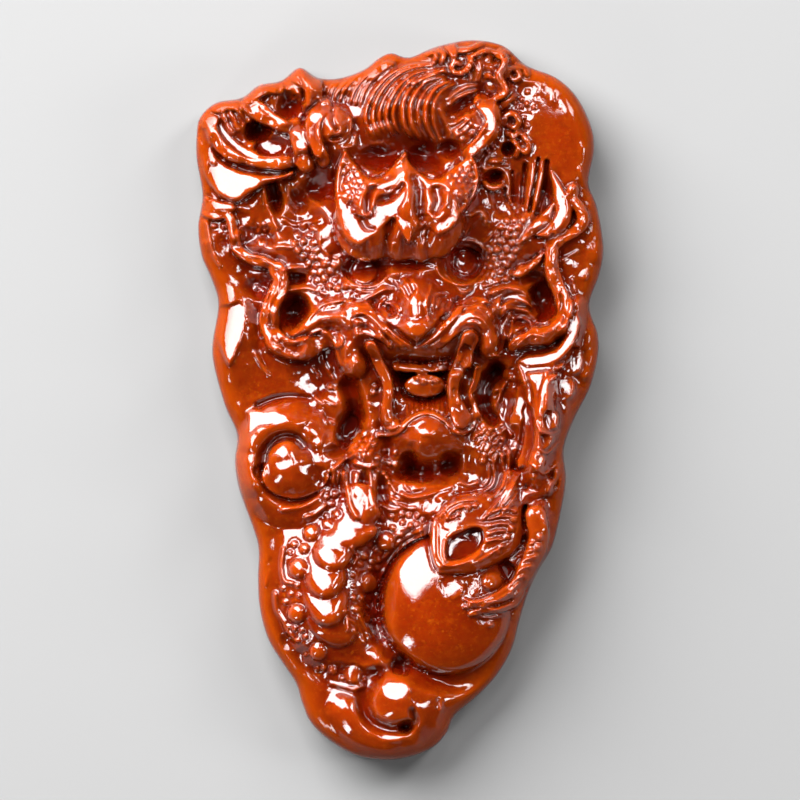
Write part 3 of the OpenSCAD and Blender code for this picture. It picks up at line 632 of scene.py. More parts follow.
HORN_GROOVES = [
    [0.45, 0.5, 1, 1.6, [(-9.3, 90), (-9.3, 88.6), (-8.7, 87.5)]],
    [0.4, 0.3, 0.8, 0.4, [(-11.4, 91.4), (-12.9, 90), (-13.6, 88.2)]],
    [0.4, 0.4, 1.3, 1.2, [(19.2, 83.4), (18.9, 80.8), (18.4, 78.4), (18, 76.2)]],
    [0.5, 0.45, 1.6, 1.4, [(20.4, 83), (20.1, 80.2), (19.5, 77.6), (19, 75.8)]],
    [0.5, 0.4, 1.3, 1, [(17.4, 82.6), (17.2, 80), (17, 77.4)]],
    [0.4, 0.4, 1.2, 1, [(15.6, 81.6), (15.6, 79.6), (15.8, 77.6)]],
    [0.35, 0.3, 0.9, 0.8, [(14.4, 79.4), (14.6, 78), (15.4, 77)]],
    [0.3, 0.3, 0.8, 0.7, [(19, 70.2), (17.6, 68.9), (16, 68.2)]],
    [0.4, 0.4, 0.8, 0.8, [(-13.9, 94.6), (-13.3, 93), (-13.3, 91.2)]],
]

# Curls at the top right, and lines of the crest and the rim
CURLS = [
    [0.45, 0.35, 1.1, 0.9, [(3.9, 98), (4.6, 98.3), (5.1, 97.7), (4.7, 96.8)]],
    [0.45, 0.4, 1.1, 0.9, [(5.5, 98.6), (6.2, 97.9), (5.7, 96.8)]],
    [0.9, 0.45, 2, 1.4, [(7, 99.5), (7.4, 98.2), (7.5, 96.9)]],
    [0.5, 0.4, 1.4, 1.2, [(9.6, 98.1), (9.8, 96.8), (9.1, 95.6), (7.9, 95.3), (7.2, 96), (7.6, 96.8),
     (8.4, 96.5)]],
    [0.5, 0.45, 1.6, 1.2, [(8.1, 98.5), (9.6, 98.6), (11.3, 99.4)]],
    [0.45, 0.4, 1.4, 1.2, [(10.2, 97.8), (11.8, 98.4), (13.5, 98.2)]],
    [0.6, 0.55, 2, 2, [(13.5, 98), (14.6, 97.3), (14.3, 96), (13.8, 94.9), (14.4, 93.7), (14.6, 92.6),
     (13.4, 91.8), (11.8, 91.2)]],
    [0.5, 0.4, 1, 1, [(13.9, 98.3), (15.2, 98.2)]],
    [0.4, 0.35, 1, 1, [(12, 95), (13, 94.5), (13.8, 93.6), (13.8, 92.5)]],
    [0.45, 0.4, 1.1, 1, [(14.8, 95), (15.2, 95.9), (16.2, 95.9), (16.6, 95), (16, 94.3), (15.4, 94.8)]],
    [0.5, 0.4, 0.9, 0.8, [(16.3, 96.4), (17.3, 96.1), (17.7, 95.2)]],
    [0.55, 0.45, 1.2, 1, [(13.8, 90.4), (14.9, 91.3), (16, 92.2)]],
    [1.3, 1.2, 2.8, 2.4, [(11.4, 91.4), (12.7, 90), (12.9, 88), (12, 86.4), (10.9, 85.2), (9.8, 83.9)]],
    [0.5, 0.45, 1.4, 1.2, [(14.4, 88.4), (14.8, 89.5), (15.9, 89.6), (16.5, 88.6), (16, 87.7),
     (15.2, 88)]],
    [0.5, 0.4, 1.2, 1, [(15, 86.9), (15.9, 86.6), (16.6, 87.3)]],
    [0.45, 0.4, 1, 1, [(15.6, 86.1), (16.4, 85), (16.1, 83.9)]],
    [0.45, 0.4, 1, 0.8, [(17, 86.8), (17.9, 85.4), (17.4, 84.3), (16.8, 84.8)]],
    [0.4, 0.35, 0.8, 0.8, [(12.6, 83.1), (14, 83.2)]],
    [0.45, 0.4, 0.9, 0.8, [(11.7, 80.1), (12.9, 79.3), (14.2, 79.7)]],
]
CREST_LINES = [
    [0.7, 0.6, 1.2, 1.2, [(1.4, 94), (3.6, 94.6), (6, 95.7)]],
    [0.8, 0.5, 1, 0.8, [(5.6, 90.4), (6.2, 88.8), (7, 86.9)]],
    [0.5, 0.4, 1, 0.7, [(6, 95.6), (7.4, 95.1)]],
]
FOLDS = [
    [0.6, 0.4, 0.6, 0.4, [(25, 82), (25.3, 80.8), (25.6, 79.8)]],
]
RIM_FOLDS = [
    [0.45, 0.35, 0.9, 0.8, [(-26.8, 74.8), (-26.3, 72.2), (-25.6, 69.8), (-24.9, 68.6)]],
    [0.5, 0.4, 0.7, 0.6, [(-21.8, 74), (-22, 71.6)]],
    [0.4, 0.4, 0.6, 0.5, [(-21.3, 74.2), (-20.2, 74)], [(22.4, 69.4), (23.6, 70), (24.6, 70.6)]],
    [0.35, 0.3, 0.9, 0.8, [(-18, 65.2), (-19, 63), (-19.4, 60.6), (-19.2, 58.8)]],
    [0.35, 0.3, 0.8, 0.7, [(-15.8, 65), (-16.6, 63.6), (-17.3, 61.6), (-17.4, 60.2)]],
    [0.4, 0.35, 0.8, 0.7, [(-22.2, 74), (-22.3, 71.6)]],
    [0.45, 0.4, 0.8, 0.6, [(-20.1, 56.6), (-19.2, 55), (-18.2, 53.4)]],
    [0.5, 0.4, 0.8, 0.6, [(26.2, 76), (26.4, 74.8)], [(-17.2, 71.3), (-16, 71.3), (-14.8, 71.1)]],
    [0.5, 0.4, 0.6, 0.5, [(23.2, 72), (24.6, 72.6), (25.6, 73.2)]],
    [0.4, 0.35, 0.6, 0.5, [(23.9, 66.8), (24.4, 65)]],
    [0.5, 0.4, 0.9, 0.8, [(-18.9, 79.4), (-18.5, 77.6), (-17.6, 75.2), (-17, 73.8)]],
    [0.5, 0.4, 0.8, 0.7, [(-15.5, 79.8), (-15.2, 78), (-14.2, 76.8)], [(-14.9, 72), (-14.3, 71),
     (-14, 70)]],
    [0.45, 0.4, 0.8, 0.7, [(-16, 75), (-14.8, 74.3), (-13.6, 74.4)]],
    [0.4, 0.35, 0.7, 0.6, [(-13.2, 74.6), (-12, 74.7), (-11.1, 75)]],
    [0.5, 0.4, 1.2, 0.8, [(-16.2, 68), (-14.4, 68.4), (-12.9, 68.3)]],
    [0.45, 0.4, 1, 0.7, [(-15.2, 65.2), (-12.8, 65.5), (-10.4, 64.7)]],
    [0.35, 0.3, 0.6, 0.6, [(-12, 73.7), (-11.1, 73.2), (-11, 71.4), (-9.9, 70.1), (-8.9, 69.7)],
     [(16.9, 72.6), (16.6, 71.2), (16, 70.6)], [(11.6, 71.8), (12.6, 72.6), (13.6, 74)], [(11.6, 65.8),
     (13, 66.2), (14.8, 66.8)]],
]

# Plates: [lift, slope across, slope up, bulge, edge width, points, more curves]
# Cloud and leaves, the brow spread like wings over its apron, belly plates from the lowest up, hand
CLOUD_PLATES = [
    [1.4, 0.22, -0.16, 0.2, 0.7, [(-28, 88), (-27.2, 88), (-26.5, 86.2), (-25.7, 84.4), (-24.4, 83),
     (-22.6, 82.1), (-20, 81.5), (-17.4, 81.2), (-14.8, 81.9), (-14.9, 81), (-17.4, 80.2), (-18.8, 79.7),
     (-20.6, 78.4), (-22.6, 77.3), (-24.4, 77.7), (-26, 79.2), (-27.2, 81.6), (-27.9, 84.6)]],
    [1, 0.12, -0.2, 0.3, 0.6, [(-27, 78), (-25, 77.6), (-23, 77.4), (-22.8, 76.2), (-24.8, 75.8),
     (-26.6, 75.8)]],
]
LEAVES = [
    [1, 0.1, -0.06, 0, 0.5, [(16.8, 71.8), (18.4, 72.6), (20, 73.6), (21.2, 75.2), (21.5, 77.6),
     (20.4, 76.6), (19, 75.2), (17.4, 73.6)]],
    [1.6, 0.3, -0.18, 0, 0.5, [(20.9, 81.8), (21.2, 79), (21.5, 76.9), (21.2, 75.2), (20.2, 73.9),
     (18.8, 72.8), (20.6, 72.4), (22.4, 73), (23.7, 74.6), (23.9, 76.8), (23, 78.8), (22, 80.6)]],
    [1, 0.2, -0.3, 0, 0.5, [(15.6, 67.2), (16.4, 68.6), (18, 69.2), (20, 70.8), (19.6, 69.2), (18.4, 68),
     (16.8, 66.9)]],
]
BROW = [
    [2.3, 0.03, -0.04, 0.5, 0.6, [(0.8, 84.5), (1.3, 83.2), (2.2, 82), (3.2, 81.3), (4.3, 80.8),
     (5.6, 80.9), (7, 82.1), (8.6, 83.2), (9.8, 84.2), (10.6, 83), (11, 81), (10.7, 79), (9.7, 77.3),
     (8.8, 75.9), (8.2, 74.6), (6.8, 73.1), (5.2, 72.4), (4.4, 73.2), (3.4, 73.6), (2.2, 72.8),
     (1.1, 71.2), (0.3, 72.4), (-0.4, 73.8), (-1.1, 74.8), (-2.1, 73.9), (-3.4, 72.6), (-4.5, 71.6),
     (-5.8, 70.9), (-7.3, 71.6), (-8.5, 73.4), (-9, 75.8), (-9.1, 78.4), (-8.9, 81), (-8.3, 83.2),
     (-7.5, 84.6), (-6.4, 83.2), (-5.2, 81.7), (-4, 80.8), (-2.6, 81), (-1.4, 82), (-0.3, 83.3)]],
]
BROW_APRON = [
    [1.5, 0, 0.02, 0.6, 2.4, [(-8.8, 77), (-9.1, 73.8), (-8.1, 71), (-5.8, 69.3), (-3.4, 69.3),
     (-1.9, 69.7), (-0.4, 69.2), (1.4, 69.4), (3, 69), (4.4, 69.6), (6.2, 69.9), (7.6, 71), (8.6, 73),
     (9, 75.6), (6, 79), (0, 79), (-6, 79)]],
]
BELLY_PLATES = [
    [0.6, 0.08, -0.12, 0, 1.5, [(-12.8, 21), (-12.4, 18.4), (-10.8, 16.6), (-8.6, 15.7), (-6.8, 16.2),
     (-5.9, 17.8), (-6.8, 19.8), (-9.8, 21)]],
    [0.9, 0.18, -0.32, 0, 1.8, [(-13, 25.2), (-13.3, 22.8), (-12.7, 20.6), (-11.4, 19), (-9.6, 18.5),
     (-8, 19.3), (-7.2, 21.2), (-7.2, 23.4), (-9.8, 25)]],
    [1.2, 0.2, -0.32, 0, 1.8, [(-11.9, 29.6), (-12.9, 27.4), (-13.2, 25.4), (-12.5, 23.6), (-10.9, 22.4),
     (-9.1, 22.7), (-7.8, 24), (-7.3, 25.8), (-8, 27.6), (-10, 29)]],
    [1.3, 0.2, -0.32, 0, 1.8, [(-9.9, 32.8), (-11.2, 31), (-12, 29.4), (-11.8, 27.8), (-10.7, 26.6),
     (-9, 26.1), (-7.4, 26.8), (-6.4, 28.4), (-6.2, 30), (-7.6, 31.6)], [(-8.2, 35.4), (-9.2, 33.8),
     (-9.8, 32), (-9.7, 30.6), (-8.6, 29.4), (-7, 29.1), (-5.2, 29.7), (-3.4, 31), (-3, 32.4),
     (-4.6, 33.4), (-6.8, 34.6)]],
    [1.1, 0.08, -0.14, 0.3, 1.6, [(-7.4, 38), (-7.4, 35.4), (-6.7, 33.4), (-5, 32.3), (-3.4, 32.9),
     (-2.6, 34.2), (-3.2, 36.4), (-4.6, 38.4)]],
]
HAND = [
    [2.1, 0, 0, 1, 1.8, [(5.1, 26.5), (4.4, 28.4), (4.1, 30.8), (4.6, 33.4), (6, 35.6), (8.2, 36.8),
     (10.8, 37.2), (13, 37.2), (14.4, 38.6), (16.2, 39), (16.8, 36.6), (17.1, 33.6), (17, 31), (16, 28.8),
     (13.8, 27.5), (11.4, 26.5), (9, 25.9), (6.8, 25.9)]],
]

# Lobes, folds and cuts of the brow
BROW_LOBES = [
    [-6, 71.6, 2, 2.6, 12, 1.1], [-3.2, 72, 1.3, 3, -10, 1], [-0.6, 72.4, 1.2, 3.4, 0, 1.2],
    [2.6, 72.4, 1.2, 3.4, 8, 1.1], [5, 71.4, 1.4, 2.6, 0, 1], [7.2, 72.8, 1.4, 2.6, -30, 1],
]
BROW_FOLDS = [
    [0.5, 0.5, 0.9, 0.8, [(-7.6, 84.2), (-8.4, 81.8), (-8.6, 79), (-8.4, 76.6)], [(10, 83.8),
     (10.8, 81.2), (10.5, 79), (9.6, 77.4), (8.6, 76.2)]],
    [0.5, 0.45, 1.2, 0.9, [(0.8, 84.2), (-0.4, 82.8), (-2, 81.7), (-3.8, 81)], [(0.8, 84.2), (2, 82.3),
     (3.6, 81.4), (5.2, 81)]],
    [0.5, 0.4, 0.8, 0.6, [(-3.2, 80.1), (-4.2, 79.4), (-5.2, 78.2), (-5.6, 76.6)]],
    [0.4, 0.3, 0.7, 0.6, [(6.7, 78.4), (6.4, 77), (5.6, 76.2)]],
    [0.3, 0.3, 0.6, 0.5, [(3, 75.8), (4, 75.9), (4.6, 75.2)]],
    [0.3, 0.25, 0.6, 0.5, [(2.6, 74.8), (2.2, 74)], [(3.3, 74.5), (2.9, 73.8)], [(3.7, 73.7),
     (3.2, 72.6)], [(2.6, 72.2), (2.4, 71.1)]],
    [0.3, 0.25, 0.6, 0.4, [(3.5, 72.2), (3, 70.9)]],
    [0.3, 0.25, 0.7, 0.5, [(-4.1, 72), (-4, 70.6)], [(-1, 71.6), (-1.1, 70.4)]],
    [0.55, 0.5, 1, 0.9, [(8.9, 72.9), (9.4, 74.2), (10.1, 75.6), (11, 76.2), (11.9, 75.6), (11.9, 74.6)]],
    [0.4, 0.35, 0.7, 0.6, [(8.4, 75), (9.2, 75.5), (10.2, 75.7)]],
]
BROW_CUTS = [
    [0.9, 0.8, 1.4, 1.2, [(-3.9, 79.2), (-4.3, 77.8), (-4.4, 76.2)]],
    [0.9, 0.6, 1.4, 1.2, [(-2.5, 77.7), (-1.4, 77.9), (-0.4, 78.7), (0.4, 79.7)]],
    [1.4, 1.1, 1.8, 1.2, [(5.2, 78.8), (5.4, 77.4), (5, 76.2)]],
    [1.1, 1, 1.2, 1, [(2.2, 80.6), (2.6, 78.8), (2.6, 77), (3, 75.4)]],
    [0.7, 0.5, 0.9, 0.5, [(-5.2, 74.8), (-4.6, 73.8), (-3.6, 73.6)]],
    [0.6, 0.5, 0.9, 0.5, [(-0.9, 74.8), (-1.2, 73.4), (-1.8, 72.2)]],
    [0.8, 0.6, 1, 0.7, [(-6.7, 76.9), (-6.1, 76.2), (-5.7, 75.4)]],
    [0.8, 0.6, 0.9, 0.7, [(8.8, 77.2), (8.2, 76.4)]],
]

# Combed hair and lips: [count, fill, rise, sink, first guide, last guide]
MANE = [
    [5, 0.46, 1.1, 0.3, [(5.8, 96.7), (1.5, 96.4), (-1.8, 94.7), (-4, 91.8), (-4.7, 88.8), (-3.2, 85.8)],
     [(5.9, 95.6), (2.4, 94.8), (0.2, 92.6), (-0.9, 90), (-0.6, 88), (0.3, 86.6)]],
    [5, 0.46, 1.1, 0.3, [(5.9, 95.3), (2.7, 94.3), (0.9, 92.2), (0.4, 90), (0.8, 87.8), (2.2, 85.9)],
     [(8.2, 94), (6, 93), (4.9, 91.3), (4.6, 89.6), (5, 87.4), (6.1, 85.3)]],
    [6, 0.5, 0.8, 0.2, [(-2.8, 97.5), (-6, 95.4), (-8.2, 93.2), (-9.2, 91.2)], [(-0.4, 97), (-3, 95.2),
     (-4.8, 93), (-5.6, 90.5)]],
    [3, 0.5, 0.6, 0.1, [(-9, 94.2), (-9.9, 92.8), (-10.1, 91.4)], [(-7.8, 94.4), (-8.8, 92.8),
     (-9.2, 91.2)]],
    [4, 0.5, 0.7, 0.1, [(6.5, 91.3), (7.6, 92.5), (9.4, 93.4), (11.1, 93.6)], [(7, 89.2), (8.4, 90),
     (10, 91), (11.3, 92)]],
    [3, 0.5, 0.7, 0.1, [(6.8, 88), (8.2, 88.6), (9.6, 89.9)], [(7.4, 86.2), (8.8, 87.2), (10.2, 88.6)]],
    [4, 0.6, 0.8, 0.1, [(10.2, 98.2), (11, 96.8), (11.2, 95.2), (10.7, 93.9)], [(8.6, 95.6), (9.4, 95.4),
     (9.8, 94.8), (9.7, 94)]],
    [4, 0.5, 0.6, 0.1, [(-24.5, 90.2), (-24, 88.3), (-22.8, 86.6)], [(-21.8, 91), (-21, 89.7),
     (-20.8, 88.2)]],
    [3, 0.5, 0.5, 0.1, [(-20.6, 91.6), (-18.8, 92.4), (-17.4, 92)], [(-20.4, 92.6), (-18.4, 93.4),
     (-16.6, 93)]],
]
LIP_STRANDS = [
    [4, 0.66, 1, 0.2, [(1.9, 57), (0.4, 58), (-1.4, 59.6), (-3, 61.7), (-4.8, 63), (-6.8, 62.9)],
     [(-0.9, 57.2), (-2.2, 58.2), (-3.8, 59), (-5, 59.5), (-6.4, 59.2)]],
    [6, 0.66, 1, 0.2, [(2.5, 57.2), (4.7, 58.9), (6.6, 60.9), (8.5, 63), (10.4, 63.9), (12.4, 63.4),
     (13.6, 61.4)], [(4.4, 57), (6, 57.6), (7.6, 59), (9.2, 60), (10.6, 59.8), (11.4, 58.6)]],
    [3, 0.6, 0.8, 0.1, [(-15.4, 59), (-13.4, 60.6), (-11.4, 62.6), (-9, 63.4), (-6, 63.8)], [(-15, 58),
     (-13, 58.4), (-11.4, 59.8), (-9.6, 59.6), (-8.6, 59)]],
]

# Lips and whiskers
LIP_RIDGES = [
    [0.35, 0.3, 1, 0.9, [(-15.4, 58.6), (-13.8, 59.8), (-12, 61.9), (-10.6, 63.2), (-8, 63.7),
     (-5.6, 63.6), (-4, 64.4), (-2, 65.4)]],
    [0.5, 0.4, 1.4, 1, [(-13.4, 58.2), (-11.8, 59.3), (-10.3, 59.4), (-9.2, 58.2), (-8.7, 56.4),
     (-8.2, 54.8)]],
    [0.8, 0.6, 1.8, 1.4, [(12.8, 64.8), (14.6, 65.5), (16.6, 65.3), (18.2, 64), (19, 62)]],
    [0.5, 0.4, 1, 0.9, [(14, 61.6), (14.8, 62.6), (16, 62.6), (18, 62.2), (19, 61)]],
    [0.6, 0.5, 1.6, 1.4, [(15.4, 61.8), (14.4, 60.4), (14.4, 58.4), (13.9, 56.6), (12.4, 56)]],
    [0.5, 0.45, 1.2, 1, [(15.8, 61.4), (17.2, 61.3), (18.6, 60.3)]],
    [0.35, 0.3, 0.8, 0.7, [(15.6, 60.8), (15.3, 59.4), (15, 58)]],
    [0.4, 0.35, 0.9, 0.8, [(16.4, 59.8), (17.6, 60.2), (19, 59.8)]],
    [0.35, 0.3, 0.8, 0.6, [(16.2, 57.4), (18, 59), (20, 58.7)]],
    [0.5, 0.4, 0.9, 0.8, [(-10.9, 57.2), (-10.6, 55.4), (-9.9, 54), (-9.2, 53)]],
    [0.4, 0.35, 0.8, 0.7, [(-8.9, 56.8), (-8.4, 55)], [(13.4, 58.9), (13.5, 57.6)]],
    [0.5, 0.4, 0.6, 0.5, [(-7.5, 55.2), (-7.6, 54)]],
    [0.4, 0.35, 0.7, 0.6, [(-11.9, 54.4), (-11.1, 53.2)]],
    [0.45, 0.4, 0.8, 0.7, [(12, 56.3), (13.6, 56.2)]],
]
WHISKERS = [
    [0.7, 0.9, 1.4, 1.8, [(-26.9, 77.6), (-27, 76.2), (-25.6, 75.6), (-23.8, 75.6), (-23.1, 73.6),
     (-22.6, 71.2), (-20.8, 69.6), (-18.6, 69.1), (-17, 68.1), (-16.5, 66.7)]],
    [1.2, 1.6, 2.4, 2.6, [(-17, 68.1), (-16.5, 66.6), (-17.1, 64.6), (-18, 62.4), (-17.9, 59.8),
     (-16.8, 57.8), (-15, 57), (-13.2, 57.2)]],
    [1.6, 1.1, 2.6, 1, [(-15, 57), (-13.2, 56.9), (-11.6, 57.6), (-10, 58.4), (-8.8, 58.2)]],
    [1, 0.9, 1.6, 1.8, [(24, 79.1), (23.8, 77.8), (25, 76.4), (25.3, 74.6), (24, 73.3), (22.2, 72.3),
     (21.1, 70.6), (21.3, 68.6)]],
    [1, 1.4, 2.2, 2.8, [(21.1, 70.4), (21, 68.4), (21.7, 66), (22.6, 64), (22.9, 62), (22, 60.1),
     (20.4, 59), (18.6, 58.8)]],
    [1.4, 0.8, 2.8, 1.6, [(20.4, 59), (18.6, 58.8), (17, 58.2), (15.6, 57.4)]],
]
WHISKER_LINES = [
    [0.3, 0.3, 0.45, 0.45, [(-23, 70.8), (-21.4, 70), (-19.4, 69.8), (-17.6, 69)], [(-16.7, 66.9),
     (-17, 65.2), (-18, 63.4), (-18.4, 60.8)], [(24.8, 76.8), (25.6, 75.6), (25.3, 74.2)], [(24.8, 73.2),
     (22.4, 72.4), (21, 70.8), (20.8, 69.2)]],
    [0.35, 0.3, 0.5, 0.5, [(-15.8, 64.9), (-16.8, 63.8), (-17.5, 61.8), (-17.6, 60.4)], [(21, 59.6),
     (19.6, 59.2), (18, 59.2)]],
    [0.3, 0.3, 0.4, 0.4, [(-24.6, 74.4), (-24, 72.6), (-23.6, 70.4)]],
    [0.3, 0.3, 0.5, 0.5, [(22, 65), (22.8, 63.4), (22.6, 61.6), (21.4, 60)], [(23.4, 62.2), (23, 60.6),
     (22, 59.4)]],
]

# Eyes and nose; rings as [x, y, radius, half width]
EYES = [
    [0.35, 0.3, 0.7, 0.7, [(-8.4, 69.4), (-8.1, 67.8), (-7.2, 66.6), (-5.4, 65.7), (-3.4, 65.8),
     (-2, 66.9)]],
    [0.3, 0.25, 0.6, 0.6, [(-7.4, 66), (-5.6, 65.2), (-3.8, 65), (-2.4, 65.7)], [(-1.8, 67.9), (-1, 68.4),
     (0, 68.5)], [(7.6, 65.9), (8.7, 64.9), (9.8, 65.2)], [(11.2, 71.4), (11.6, 70.2), (11.1, 68.9)],
     [(8.2, 71), (9.4, 71.3), (10.6, 70.7)]],
    [0.3, 0.25, 0.6, 0.5, [(-8.9, 69.5), (-8, 70.1), (-7, 70)], [(-7.3, 69.3), (-6.3, 69.6)]],
    [0.35, 0.3, 0.8, 0.8, [(5, 68.8), (5.5, 67.4), (6.8, 66.4), (8.8, 65.9), (10.6, 66.8), (11.6, 68.2),
     (12.1, 69.6)]],
    [0.3, 0.25, 0.5, 0.5, [(8.4, 70.4), (9.3, 70.6)], [(9.4, 72.2), (10.4, 72.1)], [(0.4, 68.5),
     (2.6, 68.7), (4.6, 68.6)]],
]
EYEBALLS = [[-4.9, 67.8, 1.9, 1.8, 0, 2.2], [9.2, 69, 1.7, 1.7, 0, 2]]
EYE_RINGS = [[9.2, 69, 2.4, 0.3], [9.2, 69, 3.1, 0.28]]
NOSE_LINES = [
    [0.4, 0.3, 0.8, 0.6, [(-0.6, 66.3), (0.3, 65.4), (1, 64.2)], [(0.5, 66.7), (1.3, 65.6), (1.7, 64.4)]],
    [0.4, 0.3, 0.8, 0.5, [(1.7, 66.7), (2.4, 65.8), (2.4, 65)]],
    [0.45, 0.4, 0.7, 0.6, [(-1.5, 67.4), (-0.2, 67.5)]],
    [0.35, 0.3, 0.9, 0.8, [(-2, 64), (-2.9, 63), (-2.8, 61.8), (-1.8, 60.9), (-0.8, 60.2)], [(4, 64.6),
     (3.7, 63.2), (4, 61.2)]],
    [0.4, 0.35, 0.7, 0.6, [(-3.6, 64.3), (-2.4, 65.1), (-0.8, 65.4)]],
    [0.35, 0.3, 0.8, 0.6, [(-1.9, 63.4), (-0.8, 63.3), (-0.1, 62.4), (-0.4, 61.4)], [(5.2, 64.6),
     (6.4, 64.6), (7.2, 63.6), (6.8, 62.4)]],
    [0.3, 0.25, 0.7, 0.6, [(4.8, 64.4), (4.6, 63), (4.7, 61.6)]],
    [0.3, 0.25, 0.6, 0.6, [(4.4, 66), (4.2, 65)], [(5.5, 63.8), (5.2, 62.8)], [(6.2, 63.5), (5.8, 62.4)]],
    [0.35, 0.3, 0.6, 0.6, [(8.4, 64.2), (8.2, 63.2)]],
]
NOSE_CUTS = [
    [0.7, 0.6, 0.9, 0.9, [(-3.6, 63.4), (-2.6, 61.4), (-0.9, 59.9), (0.8, 58.6), (2.2, 57.6)],
     [(8.2, 63.8), (6.4, 61.7), (4.6, 59.6), (2.8, 57.9)]],
    [0.5, 0.4, 1, 0.7, [(-1.5, 62.7), (-1, 62), (-1.3, 61.6)]],
    [0.5, 0.4, 0.8, 0.6, [(5.8, 61.2), (6.8, 61.8)]],
]
NOSE_BALLS = [
    [2.6, 62, 4, 4.8, 0, 1.3], [2.4, 60.2, 2.8, 2.4, 0, 0.9], [-1.2, 62.1, 1.7, 1.6, 0, 0.9],
    [5.9, 62.8, 1.6, 1.8, 0, 0.8],
]

# Jaws, tongue and throat
JAWS = [
    [0.9, 0.8, 2, 2.2, [(-4, 57.4), (-2.9, 55), (-1.9, 53), (-1.6, 51), (-1.8, 49.2), (-1.6, 47.4)]],
    [0.9, 1.3, 1.6, 1.6, [(-1.8, 49.2), (-1.6, 47.6), (-1.2, 46.8)]],
    [0.4, 0.35, 0.9, 0.9, [(-2.8, 45.2), (-1.4, 45.2), (0, 45.8), (0.9, 47), (2.4, 48), (3.8, 48.3),
     (5.2, 47.9), (6.4, 47), (7.4, 46), (8.6, 45.4), (9.8, 46), (10.4, 47.2), (10.1, 48.6)]],
    [1.3, 0.9, 2.6, 2.2, [(9.7, 58.4), (9, 56.4), (8.2, 54.6), (7.5, 52.8), (7.3, 51)]],
    [0.8, 1.5, 1.8, 2.2, [(7.4, 51.6), (7.6, 50), (8.1, 48.6), (8.6, 47.4)]],
    [0.45, 0.35, 1.4, 1, [(10.7, 54.4), (10.4, 52.6), (9.8, 51), (10.2, 49.4), (11, 48)]],
]
TONGUE = [[3.5, 52, 2.9, 1.7, 0, 1.4]]
LIP_EDGE = [
    [0.7, 0.7, 0.5, 0.5, [(-0.4, 54.6), (1.6, 54.4), (4.2, 54.4), (6.6, 54.7)]],
]
JAW_LINES = [
    [0.3, 0.25, 0.6, 0.6, [(-2.4, 46), (-0.9, 46), (0.2, 46.8), (1.4, 48.1), (3.2, 49), (5.2, 48.7),
     (6.6, 47.8)]],
    [0.35, 0.3, 0.9, 0.7, [(-0.9, 53.2), (-0.2, 51.8), (0.4, 50.2)]],
    [0.3, 0.25, 0.8, 0.6, [(-0.2, 53), (0.3, 51.8)]],
    [0.3, 0.3, 0.5, 0.5, [(-5.4, 46.9), (-6.2, 45.6), (-7.2, 45.2)]],
    [0.5, 0.45, 0.9, 0.7, [(0.2, 37), (1.6, 36.5), (3.6, 36.8), (5.4, 37.4), (7.2, 38)]],
    [0.35, 0.3, 0.8, 0.6, [(0.7, 38.9), (0.8, 37.9), (1.6, 37.2)], [(-2.2, 39.8), (-1.4, 38.6),
     (-0.6, 37.2)]],
    [0.35, 0.3, 0.7, 0.5, [(1, 39.3), (2, 39.8)], [(1.9, 37.6), (3, 37.8), (3.5, 38.4)]],
    [0.5, 0.45, 0.8, 0.7, [(-2.6, 35.6), (-1.2, 34.8), (0.8, 35), (2, 35)]],
    [0.35, 0.3, 0.7, 0.6, [(-1.4, 36.2), (-0.4, 35.6), (0.8, 35.3)], [(-1.2, 36.6), (-0.4, 36.2)],
     [(8.4, 38.6), (9.4, 38.2), (10.8, 38.6)], [(14, 44.8), (14.6, 44), (15.2, 42.8)]],
    [0.5, 0.4, 0.9, 0.7, [(-3.4, 40.2), (-3.3, 38.4), (-3.2, 36.4)]],
    [0.4, 0.4, 0.7, 0.6, [(10.2, 44.6), (11, 45.4), (11.9, 46.2)]],
    [0.45, 0.4, 0.8, 0.7, [(14.3, 46.6), (15.2, 45.6), (15.5, 44.8)]],
    [0.5, 0.4, 0.9, 0.8, [(-8.7, 43.9), (-7.8, 44.1), (-6.9, 43.7)], [(-7, 43.1), (-6.6, 44),
     (-6, 44.9)]],
    [0.5, 0.4, 1, 0.8, [(13.1, 51.3), (14, 51.6), (14.8, 52.6)], [(14.4, 52), (13.6, 50), (13.2, 48.6)]],
    [0.5, 0.4, 0.8, 0.7, [(13.2, 49.4), (12.6, 48.6), (13.4, 47.8)]],
    [0.4, 0.35, 0.7, 0.6, [(-11.6, 50.3), (-10.6, 49.4)], [(-10.4, 50), (-8.9, 49.3)], [(-9.7, 47.2),
     (-8.7, 46.7)], [(-10.8, 48.2), (-10.1, 46.9)], [(-10, 51.8), (-9, 51.6)]],
]

# Upright lower teeth: [x of the first, x of the last, count, y of the foot, y of the tip]
TOOTH_ROWS = [[1, 6.7, 9, 48.9, 50.1]]

